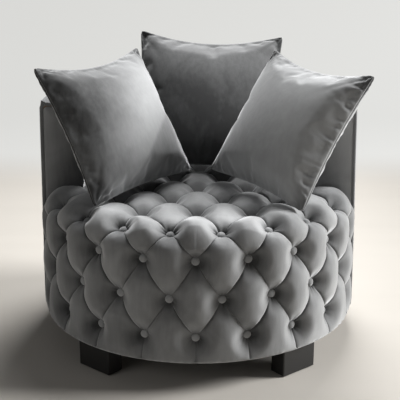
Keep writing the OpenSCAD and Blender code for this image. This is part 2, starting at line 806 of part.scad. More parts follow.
module leg(angle) {
    color(leg_black) leg_place(angle) difference() {
        translate([0, 0, glide_t]) linear_extrude(drum_lift - glide_t) leg_outline(0);
        each_leg_bolt() translate([0, 0, drum_lift - bolt_in_leg - hole_gap])
            cylinder(d = bolt_d + 2 * hole_gap, h = bolt_in_leg + cut_over, $fn = small_fn);
    }
}

module front_left_leg() {
    leg(-leg_angle);
}

module front_right_leg() {
    leg(leg_angle);
}

module rear_left_leg() {
    leg(180 + leg_angle);
}

module rear_right_leg() {
    leg(180 - leg_angle);
}

module leg_glides() {
    color(felt_grey) each_leg() linear_extrude(glide_t) leg_outline(glide_inset);
}

module leg_bolts() {
    color(zinc) each_leg() each_leg_bolt() translate([0, 0, drum_lift - bolt_in_leg])
        cylinder(d = bolt_d, h = bolt_in_leg + base_top - bolt_end - drum_lift, $fn = small_fn);
}

module leg_tee_nuts() {
    color(zinc) each_leg() each_leg_bolt() difference() {
        union() {
            translate([0, 0, base_top - nut_l]) cylinder(d = nut_d, h = nut_l, $fn = small_fn);
            translate([0, 0, base_top - nut_flange_t])
                cylinder(d = nut_flange_d, h = nut_flange_t, $fn = small_fn);
        }
        translate([0, 0, base_top - nut_l - cut_over])
            cylinder(d = bolt_d + 2 * hole_gap, h = nut_l + 2 * cut_over, $fn = small_fn);
    }
}

// A pillow stands on its lower edge, faces -Y, and is widest at its four tips
function pillow_grid(i, cells) = sin(90 * (2 * i / cells - 1));
function pillow_half(u, v, t) = t / 2 * pow(max(0, (1 - u * u) * (1 - v * v)), pillow_edge_power);
function pillow_point(u, v, side, w, t) = [
    w / 2 * u * (1 - pillow_pull_share * (1 - v * v)),
    side * pillow_half(u, v, t),
    w / 2 * (1 + v * (1 - pillow_pull_share * (1 - u * u)))];

// The front has every point of the grid, and the back the same edge and its own inner points
function pillow_points(w, t, cells) = concat(
    [for (i = [0 : cells], j = [0 : cells])
        pillow_point(pillow_grid(j, cells), pillow_grid(i, cells), -1, w, t)],
    [for (i = [1 : cells - 1], j = [1 : cells - 1])
        pillow_point(pillow_grid(j, cells), pillow_grid(i, cells), 1, w, t)]);
function pillow_index(side, i, j, cells) =
    side < 0 || i == 0 || j == 0 || i == cells || j == cells ? i * (cells + 1) + j
    : pow(cells + 1, 2) + (i - 1) * (cells - 1) + j - 1;
function pillow_faces(cells) = [
    for (side = [-1, 1], i = [0 : cells - 1], j = [0 : cells - 1], half = [0, 1])
        let (
            a = pillow_index(side, i, j, cells),
            b = pillow_index(side, i, j + 1, cells),
            c = pillow_index(side, i + 1, j + 1, cells),
            d = pillow_index(side, i + 1, j, cells),
            cross = (i < cells / 2) == (j < cells / 2),
            face = cross ? (half == 0 ? [a, b, c] : [a, c, d]) : (half == 0 ? [a, b, d] : [b, c, d]))
        side < 0 ? [face[2], face[1], face[0]] : face];

module pillow_shape(w, t, cells) {
    polyhedron(pillow_points(w, t, cells), pillow_faces(cells));
}

// A point of a pillow that is tipped, leant back and turned about the middle of its lower edge
function posed(p, turn, lean, tip) = let (
        x = p.x * cos(tip) + p.z * sin(tip),
        z = p.z * cos(tip) - p.x * sin(tip),
        y = p.y * cos(lean) + z * sin(lean))
    [x * cos(turn) - y * sin(turn), x * sin(turn) + y * cos(turn), z * cos(lean) - p.y * sin(lean)];

// Height of a pillow whose lowest tip is level with the crowns of the seat
function pillow_crown_z(w, t, turn, lean, tip) = seat_h
    - min([for (p = pillow_points(w, t, pillow_cells)) posed(p, turn, lean, tip).z]);

// How far a pillow at a place can go down until it rests on the tufts
function pillow_drop(place, w, t, turn, lean, tip) = min([
    for (p = pillow_points(w, t, pillow_cells))
        let (q = place + posed(p, turn, lean, tip))
        if (q.z < seat_h + pit_depth && norm([q.x, q.y]) < seat_r) q.z - rest_z(q.x, q.y)
]) - soft_gap;

// Place of a side pillow: its inner tip lies beside the chair's middle and its back clears the arm
function side_pillow_y(side, x, z, w, lean, turn, tip, half) = let (
        n = posed([0, -1, 0], turn, lean, tip),
        arm = [side * back_in_r * sin(arm_angle), -back_in_r * cos(arm_angle), back_h - back_in_round])
    (n * arm + half + soft_gap - n.x * x - n.z * z) / n.y;
function side_pillow_at(side, x, z, w, t, lean, turn, tip) = let (
        first_y = side_pillow_y(side, x, z, w, lean, turn, tip, t / 2),
        arm = [side * back_in_r * sin(arm_angle), -back_in_r * cos(arm_angle), back_h - back_in_round],
        reach = arm - [x, first_y, z],
        u = 2 * reach * posed([1, 0, 0], turn, lean, tip) / w,
        v = 2 * reach * posed([0, 0, 1], turn, lean, tip) / w - 1)
    [x, side_pillow_y(side, x, z, w, lean, turn, tip, pillow_half(u, v, t)), z];
function side_pillow_place(side, w, t, lean, turn, tip, gap, rise) = let (
        x = side * gap - posed([-side * w / 2, 0, 0], turn, lean, tip).x,
        first_z = pillow_crown_z(w, t, turn, lean, tip),
        first = side_pillow_at(side, x, first_z, w, t, lean, turn, tip),
        second_z = first_z - pillow_drop(first, w, t, turn, lean, tip),
        second = side_pillow_at(side, x, second_z, w, t, lean, turn, tip))
    [x, second.y, second_z - pillow_drop(second, w, t, turn, lean, tip) + rise];

// Place of the back pillow, as far back as the inside of the back lets it
function back_pillow_at(z) = [back_pillow_shift, min([
    for (p = pillow_points(back_pillow_w, back_pillow_t, pillow_cells))
        let (q = posed(p, 0, back_pillow_lean, back_pillow_tip), x = q.x + back_pillow_shift)
        if (q.z + z < back_h && abs(x) < back_in_r) sqrt(pow(back_in_r - soft_gap, 2) - pow(x, 2)) - q.y
]), z];
function back_pillow_drop(place) =
    pillow_drop(place, back_pillow_w, back_pillow_t, 0, back_pillow_lean, back_pillow_tip);
back_first = back_pillow_at(
    pillow_crown_z(back_pillow_w, back_pillow_t, 0, back_pillow_lean, back_pillow_tip));
back_second = back_pillow_at(back_first.z - back_pillow_drop(back_first));
back_pillow_place = back_pillow_at(back_second.z - back_pillow_drop(back_second) + back_pillow_rise);
left_pillow_place = side_pillow_place(-1, side_pillow_w, side_pillow_t, left_pillow_lean,
                                      side_pillow_turn, -left_pillow_tip, left_pillow_gap,
                                      left_pillow_rise);
right_pillow_place = side_pillow_place(1, side_pillow_w, side_pillow_t, right_pillow_lean,
                                       -side_pillow_turn, right_pillow_tip, right_pillow_gap,
                                       right_pillow_rise);

module place_pillow(place, turn, lean, tip) {
    translate(place) rotate([0, 0, turn]) rotate([-lean, 0, 0]) rotate([0, tip, 0]) children();
}

module at_left_pillow() {
    place_pillow(left_pillow_place, side_pillow_turn, left_pillow_lean, -left_pillow_tip) children();
}

module at_right_pillow() {
    place_pillow(right_pillow_place, -side_pillow_turn, right_pillow_lean, right_pillow_tip) children();
}

module at_back_pillow() {
    place_pillow(back_pillow_place, 0, back_pillow_lean, back_pillow_tip) children();
}

// The space for the filling, or the filling itself when it is drawn in by a gap
module pillow_core(w, t, gap) {
    translate([0, 0, pillow_seam + 2 * gap])
        pillow_shape(w - 2 * pillow_seam - 4 * gap, t - 2 * pillow_wall - 2 * gap, filling_cells);
}

module pillow_cover(w, t) {
    color(velvet) difference() {
        pillow_shape(w, t, pillow_cells);
        pillow_core(w, t, 0);
    }
}

module pillow_filling(w, t) {
    color(wadding_colour) pillow_core(w, t, soft_gap);
}

module left_pillow_cover() {
    at_left_pillow() pillow_cover(side_pillow_w, side_pillow_t);
}

module left_pillow_filling() {
    at_left_pillow() pillow_filling(side_pillow_w, side_pillow_t);
}

module right_pillow_cover() {
    at_right_pillow() pillow_cover(side_pillow_w, side_pillow_t);
}

module right_pillow_filling() {
    at_right_pillow() pillow_filling(side_pillow_w, side_pillow_t);
}

module back_pillow_cover() {
    at_back_pillow() pillow_cover(back_pillow_w, back_pillow_t);
}

module back_pillow_filling() {
    at_back_pillow() pillow_filling(back_pillow_w, back_pillow_t);
}

base_plate();
dust_cover();
drum_posts();
seat_deck();
deck_screws();
base_screws();
front_board();
back_posts();
back_top_rail();
back_inner_board();
back_outer_board();
left_arm_board();
right_arm_board();
back_foam();
back_wadding();
inside_back_cover();
outside_back_cover();
left_arm_cover();
right_arm_cover();
seat_foam();
seat_cover();
front_foam();
front_cover();
seat_buttons();
shoulder_buttons();
upper_buttons();
middle_buttons();
lower_buttons();
seat_ties();
shoulder_ties();
front_ties();
front_left_leg();
front_right_leg();
rear_left_leg();
rear_right_leg();
leg_tee_nuts();
leg_bolts();
leg_glides();
left_pillow_cover();
left_pillow_filling();
right_pillow_cover();
right_pillow_filling();
back_pillow_cover();
back_pillow_filling();
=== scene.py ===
"""Looks of a barrel accent chair: deep-buttoned velvet, a smooth padded back and three loose pillows."""

import math

import bpy
import numpy as np
from bpy.props import FloatProperty, FloatVectorProperty, IntProperty, PointerProperty
from bpy.types import Operator, Panel, PropertyGroup
from mathutils import Matrix, Vector
from mathutils.geometry import delaunay_2d_cdt


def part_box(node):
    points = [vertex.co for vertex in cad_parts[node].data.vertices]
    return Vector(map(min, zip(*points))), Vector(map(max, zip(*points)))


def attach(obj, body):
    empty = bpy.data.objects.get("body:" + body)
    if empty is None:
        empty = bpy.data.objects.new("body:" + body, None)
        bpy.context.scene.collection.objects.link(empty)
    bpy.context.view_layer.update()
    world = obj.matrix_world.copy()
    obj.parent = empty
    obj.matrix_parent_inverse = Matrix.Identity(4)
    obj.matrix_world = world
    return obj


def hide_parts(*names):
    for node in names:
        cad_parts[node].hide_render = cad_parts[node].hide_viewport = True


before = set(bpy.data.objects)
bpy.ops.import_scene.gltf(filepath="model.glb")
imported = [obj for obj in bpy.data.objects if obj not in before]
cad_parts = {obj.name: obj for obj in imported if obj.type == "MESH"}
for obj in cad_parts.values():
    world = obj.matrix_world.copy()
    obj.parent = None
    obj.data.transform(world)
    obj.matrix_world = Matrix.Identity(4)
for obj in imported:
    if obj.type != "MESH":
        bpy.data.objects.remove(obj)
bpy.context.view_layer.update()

bl_info = {
    "name": "Tufted Accent Chair",
    "version": (1, 0, 0),
    "blender": (4, 5, 0),
    "location": "3D View > Sidebar > Chair",
    "description": "Dresses a barrel accent chair in deep-buttoned velvet",
    "category": "Add Mesh",
}

SEED = 11
FAR = 9.0           # a distance past any on the chair
QUARTER = math.pi / 2
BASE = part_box("dust_cover")[0].z
BACK_FOOT, BACK_TOP = (corner.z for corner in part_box("inside_back_cover"))
HEM_DROP = 0.007    # how far the covers' lower edge hangs below the base
HEM = BASE - HEM_DROP


def length_setting(name, about, default):
    return FloatProperty(name=name, description=about, default=default, subtype="DISTANCE")


def share_setting(name, about, default):
    return FloatProperty(name=name, description=about, default=default, min=0, max=1, subtype="FACTOR")


def count_setting(name, about, default):
    return IntProperty(name=name, description=about, default=default)


def colour_setting(name, about, default):
    return FloatVectorProperty(name=name, description=about, default=default, size=3, subtype="COLOR")


class TuftSettings(PropertyGroup):
    """Sizes of the deep-buttoned cover."""

    radius: length_setting("Radius", "Radius of the drum over its crowns", 0.46)
    seat_height: length_setting("Seat height", "Height of the seat's crowns", 0.445)
    shoulder: length_setting("Shoulder", "Radius between the seat and the side", 0.075)
    low_row: length_setting("Low row", "Height of the lowest buttons", 0.139)
    row_gap: length_setting("Row gap", "Distance between button rows on the drum", 0.103)
    columns: count_setting("Columns", "Lattice steps in a full turn of the drum", 40)
    seat_gap_x: length_setting("Seat gap across", "Distance between buttons across the seat", 0.143)
    seat_gap_y: length_setting("Seat gap along", "Distance between the seat's rows", 0.113)
    seat_row_1: length_setting("First row", "Distance of the seat's first row from the axis", 0.29)
    arm_angle: FloatProperty(
        name="Arm angle", description="Angle from the front to the arms' faces", default=math.radians(80),
        subtype="ANGLE")
    back_radius: length_setting("Back radius", "Radius of the inside of the back", 0.335)
    pit_depth: length_setting("Pit depth", "Depth of a button pit", 0.036)
    pit_reach: length_setting("Pit reach", "Radius at which a pit runs out", 0.056)
    fold_depth: length_setting("Fold depth", "Depth of the folds between buttons", 0.016)
    slit_depth: length_setting("Slit depth", "Depth of the tucked line inside a fold", 0.0032)
    crown_reach: length_setting("Crown reach", "Distance from a fold to the top of a crown", 0.058)
    gather: length_setting("Gather", "Height of the small pleats round a button", 0.0015)
    step: length_setting("Mesh step", "Distance between points on the crowns", 0.006)
    wall: length_setting("Wall", "Thickness of the cover with its lining", 0.003)


class BackSettings(PropertyGroup):
    """Sizes of the smooth covers of the back and arms."""

    taper: length_setting("Taper", "How much less the outer radius is at the top", 0.013)
    inner_round: length_setting("Inner round", "Radius of the inner edge along the top", 0.02)
    outer_round: length_setting("Outer round", "Radius of the outer edge along the top", 0.015)
    seam_inset: length_setting("Seam inset", "Distance of the top seam from the outer face", 0.01)
    corner: length_setting("Corner", "Radius of the edges round the arms' fronts", 0.005)
    strip: length_setting("Strip", "Width of the outer cover's strip on the arms' fronts", 0.01)
    groove: length_setting("Groove", "Depth of the sewn seams", 0.0022)
    crown: length_setting("Crown", "Swell of the arms' fronts", 0.004)
    wall: length_setting("Wall", "Thickness of the covers with their lining", 0.003)


class PillowSettings(PropertyGroup):
    """Sizes of the three pillows."""

    drawn_in: share_setting("Drawn in", "Share of the half width by which the seams are drawn in", 0.08)
    top_sag: share_setting("Top sag", "The same share for the top seam", 0.18)
    tip_half: length_setting("Tip half", "Half thickness of a pillow's tips", 0.005)
    tip_inset: length_setting("Tip inset", "Distance by which the tips are rounded off", 0.005)
    seam_depth: length_setting("Seam depth", "Depth of the seam's groove", 0.0016)
    crease: length_setting("Crease", "Depth of the gathers beside the seams", 0.0022)
    cells: count_setting("Cells", "Mesh cells across a pillow's panel", 68)
    filling_gap: length_setting("Filling gap", "Distance of the filling from the seams", 0.03)
    filling_cells: count_setting("Filling cells", "Mesh cells across the filling", 24)
    slack: share_setting("Slack", "Share by which the velvet is longer than its seams", 0.035)
    pressure: FloatProperty(name="Pressure", description="Pressure of the filling", default=4.0)
    swell: length_setting("Swell", "Furthest that a point moves as the pillow fills", 0.012)


class FinishSettings(PropertyGroup):
    """Colours of the chair's finishes."""

    velvet: colour_setting("Velvet", "Colour of the velvet", (0.2, 0.203, 0.205))
    lacquer: colour_setting("Lacquer", "Colour of the legs", (0.005, 0.005, 0.005))
    floor: colour_setting("Floor", "Colour of the floor", (0.6, 0.568, 0.52))
    backdrop: colour_setting("Backdrop", "Glow of the backdrop in the picture", (0.62, 0.62, 0.6))


# Shader maths

class Signal:
    """A socket that adds Math nodes when it is used in a sum or a product."""

    def __init__(self, nodes, socket):
        self.nodes = nodes
        self.socket = socket

    def maths(self, operation, first, second):
        return self.nodes.add("ShaderNodeMath", {"operation": operation}, {0: first, 1: second})

    def __add__(self, other):
        return self.maths("ADD", self, other)

    def __radd__(self, other):
        return self.maths("ADD", other, self)

    def __mul__(self, other):
        return self.maths("MULTIPLY", self, other)

    def __rmul__(self, other):
        return self.maths("MULTIPLY", other, self)

    def above(self, low, high):
        """0 below low, 1 above high, and smooth between them."""
        return self.nodes.add(
            "ShaderNodeMapRange", {"interpolation_type": "SMOOTHSTEP"},
            {"Value": self, "From Min": low, "From Max": high})


class Nodes:
    """A node tree, whose nodes one method adds."""

    def __init__(self, tree):
        self.tree = tree

    def add(self, kind, settings, sockets, output=0):
        """Adds a node, sets it up, and gives one of its outputs back."""
        node = self.tree.nodes.new(kind)
        for key, value in settings.items():
            setattr(node, key, value)
        for key, value in sockets.items():
            self.feed(node.inputs[key], value)
        return Signal(self, node.outputs[output])

    def feed(self, socket, value):
        if isinstance(value, Signal):
            self.tree.links.new(value.socket, socket)
        else:
            socket.default_value = value


class Paint(Nodes):
    """The nodes of one material, with its shader's constants."""

    def __init__(self, name, **finish):
        self.material = bpy.data.materials.new(name)
        self.material.use_nodes = True
        super().__init__(self.material.node_tree)
        self.tree.nodes.clear()
        self.shader = self.tree.nodes.new("ShaderNodeBsdfPrincipled")
        output = self.tree.nodes.new("ShaderNodeOutputMaterial")
        self.tree.links.new(self.shader.outputs["BSDF"], output.inputs["Surface"])
        for key, value in finish.items():
            self.shader.inputs[key.replace("_", " ")].default_value = value

    def place(self, scale=(1, 1, 1), turn=(0, 0, 0)):
        """Object coordinates, turned and stretched."""
        where = self.add("ShaderNodeTexCoord", {}, {}, "Object")
        return self.add("ShaderNodeMapping", {}, {"Vector": where, "Scale": scale, "Rotation": turn})

    def noise(self, where, scale, detail=2.0, roughness=0.5, distortion=0.0):
        return self.add(
            "ShaderNodeTexNoise", {},
            {"Vector": where, "Scale": scale, "Detail": detail, "Roughness": roughness,
             "Distortion": distortion}, "Fac")

    def bands(self, direction, scale, distortion=0.0):
        return self.add(
            "ShaderNodeTexWave", {"wave_type": "BANDS", "bands_direction": direction},
            {"Vector": self.place(), "Scale": scale, "Distortion": distortion}, "Fac")

    def mix(self, share, first, second):
        """Blends two colours, by the places of the Mix node's colour sockets."""
        first, second = (shade if isinstance(shade, Signal) else (*shade, 1) for shade in (first, second))
        return self.add("ShaderNodeMix", {"data_type": "RGBA"}, {"Factor": share, 6: first, 7: second}, 2)

    def set(self, name, value):
        self.feed(self.shader.inputs[name], value)

    def finish(self, base, roughness, relief, depth, strength):
        """Feeds the shader its colour, roughness and relief, and gives the material."""
        self.set("Base Color", base)
        self.set("Roughness", roughness)
        self.set("Normal", self.add(
            "ShaderNodeBump", {}, {"Height": relief, "Distance": depth, "Strength": strength}))
        return self.material


def tone(shade, share):
    """A colour made lighter or darker."""
    return tuple(min(1.0, channel * share) for channel in shade)


def velvet(name, pile):
    """Velvet: a dark pile with a pale sheen, random patches and a fine nap.

    The attribute that a piece stores holds painted light, above 0, which makes its pile paler, and painted
    shade, below 0, which makes it darker."""
    paint = Paint(
        name, Sheen_Weight=0.9, Sheen_Roughness=0.5, Sheen_Tint=(0.95, 0.96, 0.97, 1),
        Specular_IOR_Level=0.15)
    where = paint.place()
    patches = paint.noise(where, 6.5, 3.0, 0.55, 0.6).above(0.36, 0.66)
    strokes = paint.noise(paint.place((90, 90, 16), (0.3, 0.2, 0)), 1.0, 2.0).above(0.3, 0.7)
    nap = paint.noise(where, 620.0, 1.0)
    pile_and_painted_light = paint.add("ShaderNodeAttribute", {"attribute_name": "pile_and_painted_light"}, {}, "Fac")
    # The stored attribute mixes a lit and a shaded copy of the velvet's colour: painted light and painted
    # shade.
    share = 0.24 + patches * 0.12 + strokes * 0.04 + nap * 0.08 + pile_and_painted_light * 0.42
    return paint.finish(
        paint.mix(share, tone(pile, 0.16), tone(pile, 2.5)), 0.78 + nap * 0.12 + strokes * 0.05,
        nap + strokes * 0.6, 0.0005, 0.35)


def lacquer(name, shade):
    """Black satin lacquer over fine grain."""
    paint = Paint(name, Coat_Weight=0.25, Coat_Roughness=0.3)
    grain = paint.noise(paint.place((14, 14, 240)), 3.0, 3.0, 0.6)
    specks = paint.noise(paint.place(), 260.0, 2.0)
    return paint.finish(
        paint.mix(grain * 0.5 + specks * 0.3, tone(shade, 0.7), tone(shade, 1.7)),
        0.36 + grain * 0.12 + specks * 0.06, grain + specks * 0.4, 0.0003, 0.4)


def plywood(name):
    """Birch plywood with its plies on the edges."""
    paint = Paint(name)
    grain = paint.noise(paint.place((6, 60, 60)), 4.0, 4.0, 0.6, 1.2)
    plies = paint.bands("Z", 110.0, 0.4)
    return paint.finish(
        paint.mix(grain * 0.7 + plies * 0.25, (0.42, 0.27, 0.13), (0.68, 0.5, 0.3)), 0.55 + grain * 0.2,
        grain + plies * 0.5, 0.0004, 0.5)


def fibreboard(name):
    """Brown fibreboard with flecks."""
    paint = Paint(name)
    flecks = paint.noise(paint.place(), 240.0, 3.0, 0.7)
    cloud = paint.noise(paint.place(), 18.0, 2.0)
    return paint.finish(
        paint.mix(flecks * 0.6 + cloud * 0.3, (0.2, 0.12, 0.07), (0.42, 0.28, 0.16)), 0.7 + flecks * 0.2,
        flecks, 0.0004, 0.5)


def foam(name, pale, deep, cell):
    """Open foam or loose fibre, full of small cells."""
    paint = Paint(name, Subsurface_Weight=0.1)
    cells = paint.add(
        "ShaderNodeTexVoronoi", {}, {"Vector": paint.place(), "Scale": cell}, "Distance")
    cloud = paint.noise(paint.place(), 12.0, 2.0)
    return paint.finish(
        paint.mix(cells * 0.6 + cloud * 0.3, pale, deep), 0.85 + cells * 0.1, cells, 0.0008, 0.7)


def woven(name, pale, deep, threads):
    """Plain cloth of crossed threads, or a twisted cord."""
    paint = Paint(name)
    weave = paint.bands("X", threads) * paint.bands("Y", threads)
    return paint.finish(paint.mix(weave * 0.8, deep, pale), 0.75 + weave * 0.15, weave, 0.0003, 0.6)


def felt(name):
    """Dense grey felt."""
    paint = Paint(name, Sheen_Weight=0.3)
    fibres = paint.noise(paint.place((300, 300, 80)), 3.0, 4.0, 0.7, 1.5)
    return paint.finish(
        paint.mix(fibres, (0.03, 0.03, 0.03), (0.1, 0.1, 0.1)), 0.85 + fibres * 0.1, fibres, 0.0005, 0.6)


def zinc(name):
    """Zinc-plated steel."""
    paint = Paint(name, Metallic=1.0)
    spangle = paint.noise(paint.place(), 180.0, 3.0, 0.6)
    turned = paint.noise(paint.place((40, 40, 900)), 1.0, 1.0)
    return paint.finish(
        paint.mix(spangle, (0.5, 0.51, 0.52), (0.72, 0.72, 0.7)), 0.28 + spangle * 0.2,
        spangle + turned * 0.6, 0.0002, 0.4)


NODE_FINISHES = {
    "button_velvet": ("seat_buttons", "shoulder_buttons", "upper_buttons", "middle_buttons", "lower_buttons"),
    "velvet": ("inside_back_cover", "outside_back_cover", "left_arm_cover", "right_arm_cover",
               "seat_cover", "front_cover"),
    "pillow_velvet": ("left_pillow_cover", "right_pillow_cover", "back_pillow_cover"),
    "black_lacquer": ("front_left_leg", "front_right_leg", "rear_left_leg", "rear_right_leg"),
    "plywood": ("base_plate", "drum_posts", "seat_deck", "back_posts", "back_top_rail"),
    "fibreboard": ("front_board", "back_inner_board", "back_outer_board", "left_arm_board",
                   "right_arm_board"),
    "foam": ("back_foam", "seat_foam", "front_foam"),
    "wadding": ("back_wadding", "left_pillow_filling", "right_pillow_filling", "back_pillow_filling"),
    "twine": ("seat_ties", "shoulder_ties", "front_ties"),
    "cambric": ("dust_cover",),
    "felt": ("leg_glides",),
    "zinc": ("deck_screws", "base_screws", "leg_tee_nuts", "leg_bolts"),
}
made_finishes = {}


def finish_of(slot):
    """The material of a slot, made once."""
    if slot not in made_finishes:
        made_finishes[slot] = make_finish(slot)
    return made_finishes[slot]


def make_finish(slot):
    colours = bpy.context.scene.chair_finish
    recipes = {
        "velvet": (velvet, colours.velvet),
        # The buttons get a paler copy of the velvet: painted light on them, down in their pits.
        "button_velvet": (velvet, tone(colours.velvet, 1.35)),
        "pillow_velvet": (velvet, tone(colours.velvet, 1.02)),
        "black_lacquer": (lacquer, colours.lacquer),
        "plywood": (plywood,),
        "fibreboard": (fibreboard,),
        "foam": (foam, (0.8, 0.72, 0.48), (0.6, 0.5, 0.3), 420.0),
        "wadding": (foam, (0.8, 0.8, 0.78), (0.6, 0.6, 0.58), 150.0),
        "twine": (woven, (0.62, 0.57, 0.44), (0.4, 0.36, 0.27), 900.0),
        "cambric": (woven, (0.03, 0.03, 0.03), (0.008, 0.008, 0.008), 500.0),
        "felt": (felt,),
        "zinc": (zinc,),
    }
    make, *details = recipes[slot]
    return make(slot, *details)


# Shapes and meshes

def smooth(low, high, value):
    """0 below low, 1 above high, and an even curve between them."""
    share = np.clip((value - low) / (high - low), 0, 1)
    return share * share * (3 - 2 * share)


def bell(gap, width):
    """1 where the gap is 0, fading to nothing past the width."""
    return np.exp(-(gap / width) ** 2)


def polar(points):
    """Distance from the chair's axis and angle from its front."""
    x, y = np.asarray(points, float)[:, :2].T
    return np.hypot(x, y), np.arctan2(x, -y)


def on_circle(radius, angle):
    """A place in plan at a distance from the chair's axis and an angle from its front."""
    return Vector((radius * math.sin(angle), -radius * math.cos(angle)))


def deselect_all():
    for thing in bpy.context.selected_objects:
        thing.select_set(False)


def make_active(piece):
    deselect_all()
    bpy.context.view_layer.objects.active = piece
    piece.select_set(True)


def new_piece(name, points, faces):
    mesh = bpy.data.meshes.new(name)
    mesh.from_pydata([tuple(p) for p in points], [], faces)
    mesh.update()
    piece = bpy.data.objects.new(name, mesh)
    bpy.context.scene.collection.objects.link(piece)
    make_active(piece)
    return piece


def places_of(piece):
    return np.array([tuple(vertex.co) for vertex in piece.data.vertices])


def normals_of(piece):
    return np.array([tuple(vertex.normal) for vertex in piece.data.vertices])


def move_points(piece, points):
    piece.data.vertices.foreach_set("co", points.astype(np.float32).ravel())
    piece.data.update()


def add_modifier(piece, kind, settings):
    modifier = piece.modifiers.new(kind.title(), kind)
    for key, value in settings.items():
        setattr(modifier, key, value)


def apply_modifiers(piece):
    make_active(piece)
    for modifier in list(piece.modifiers):
        bpy.ops.object.modifier_apply(modifier=modifier.name)


def line_cover(piece, thickness):
    """Gives a cover's outer face the thickness of the cloth with its lining, inwards."""
    add_modifier(piece, "SOLIDIFY", {"thickness": thickness, "offset": -1.0})
    apply_modifiers(piece)


def finish_piece(piece, slot, body, nodes, crisp=math.radians(50)):
    """Gives a piece its material and its body, and hides the nodes that it stands for."""
    make_active(piece)
    bpy.ops.object.shade_smooth_by_angle(angle=crisp)
    piece.data.materials.clear()
    piece.data.materials.append(finish_of(slot))
    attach(piece, body)
    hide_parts(*nodes)


def store_painted_light(piece, amounts):
    """Stores the painted light and shade of a velvet piece at each point: paler above 0, darker below 0."""
    layer = piece.data.attributes.new("pile_and_painted_light", "FLOAT", "POINT")
    layer.data.foreach_set("value", np.asarray(amounts, np.float32))


# The tufted cover. Its plan is the cover laid flat: a place on the side lies as far outside
# the shoulder as it is along the profile from it.

def lattice(widest, rows):
    """Columns and rows of a diamond pattern."""
    return [(column, row) for row in range(rows) for column in range(-widest, widest + 1)
            if (column + row) % 2 == 0]


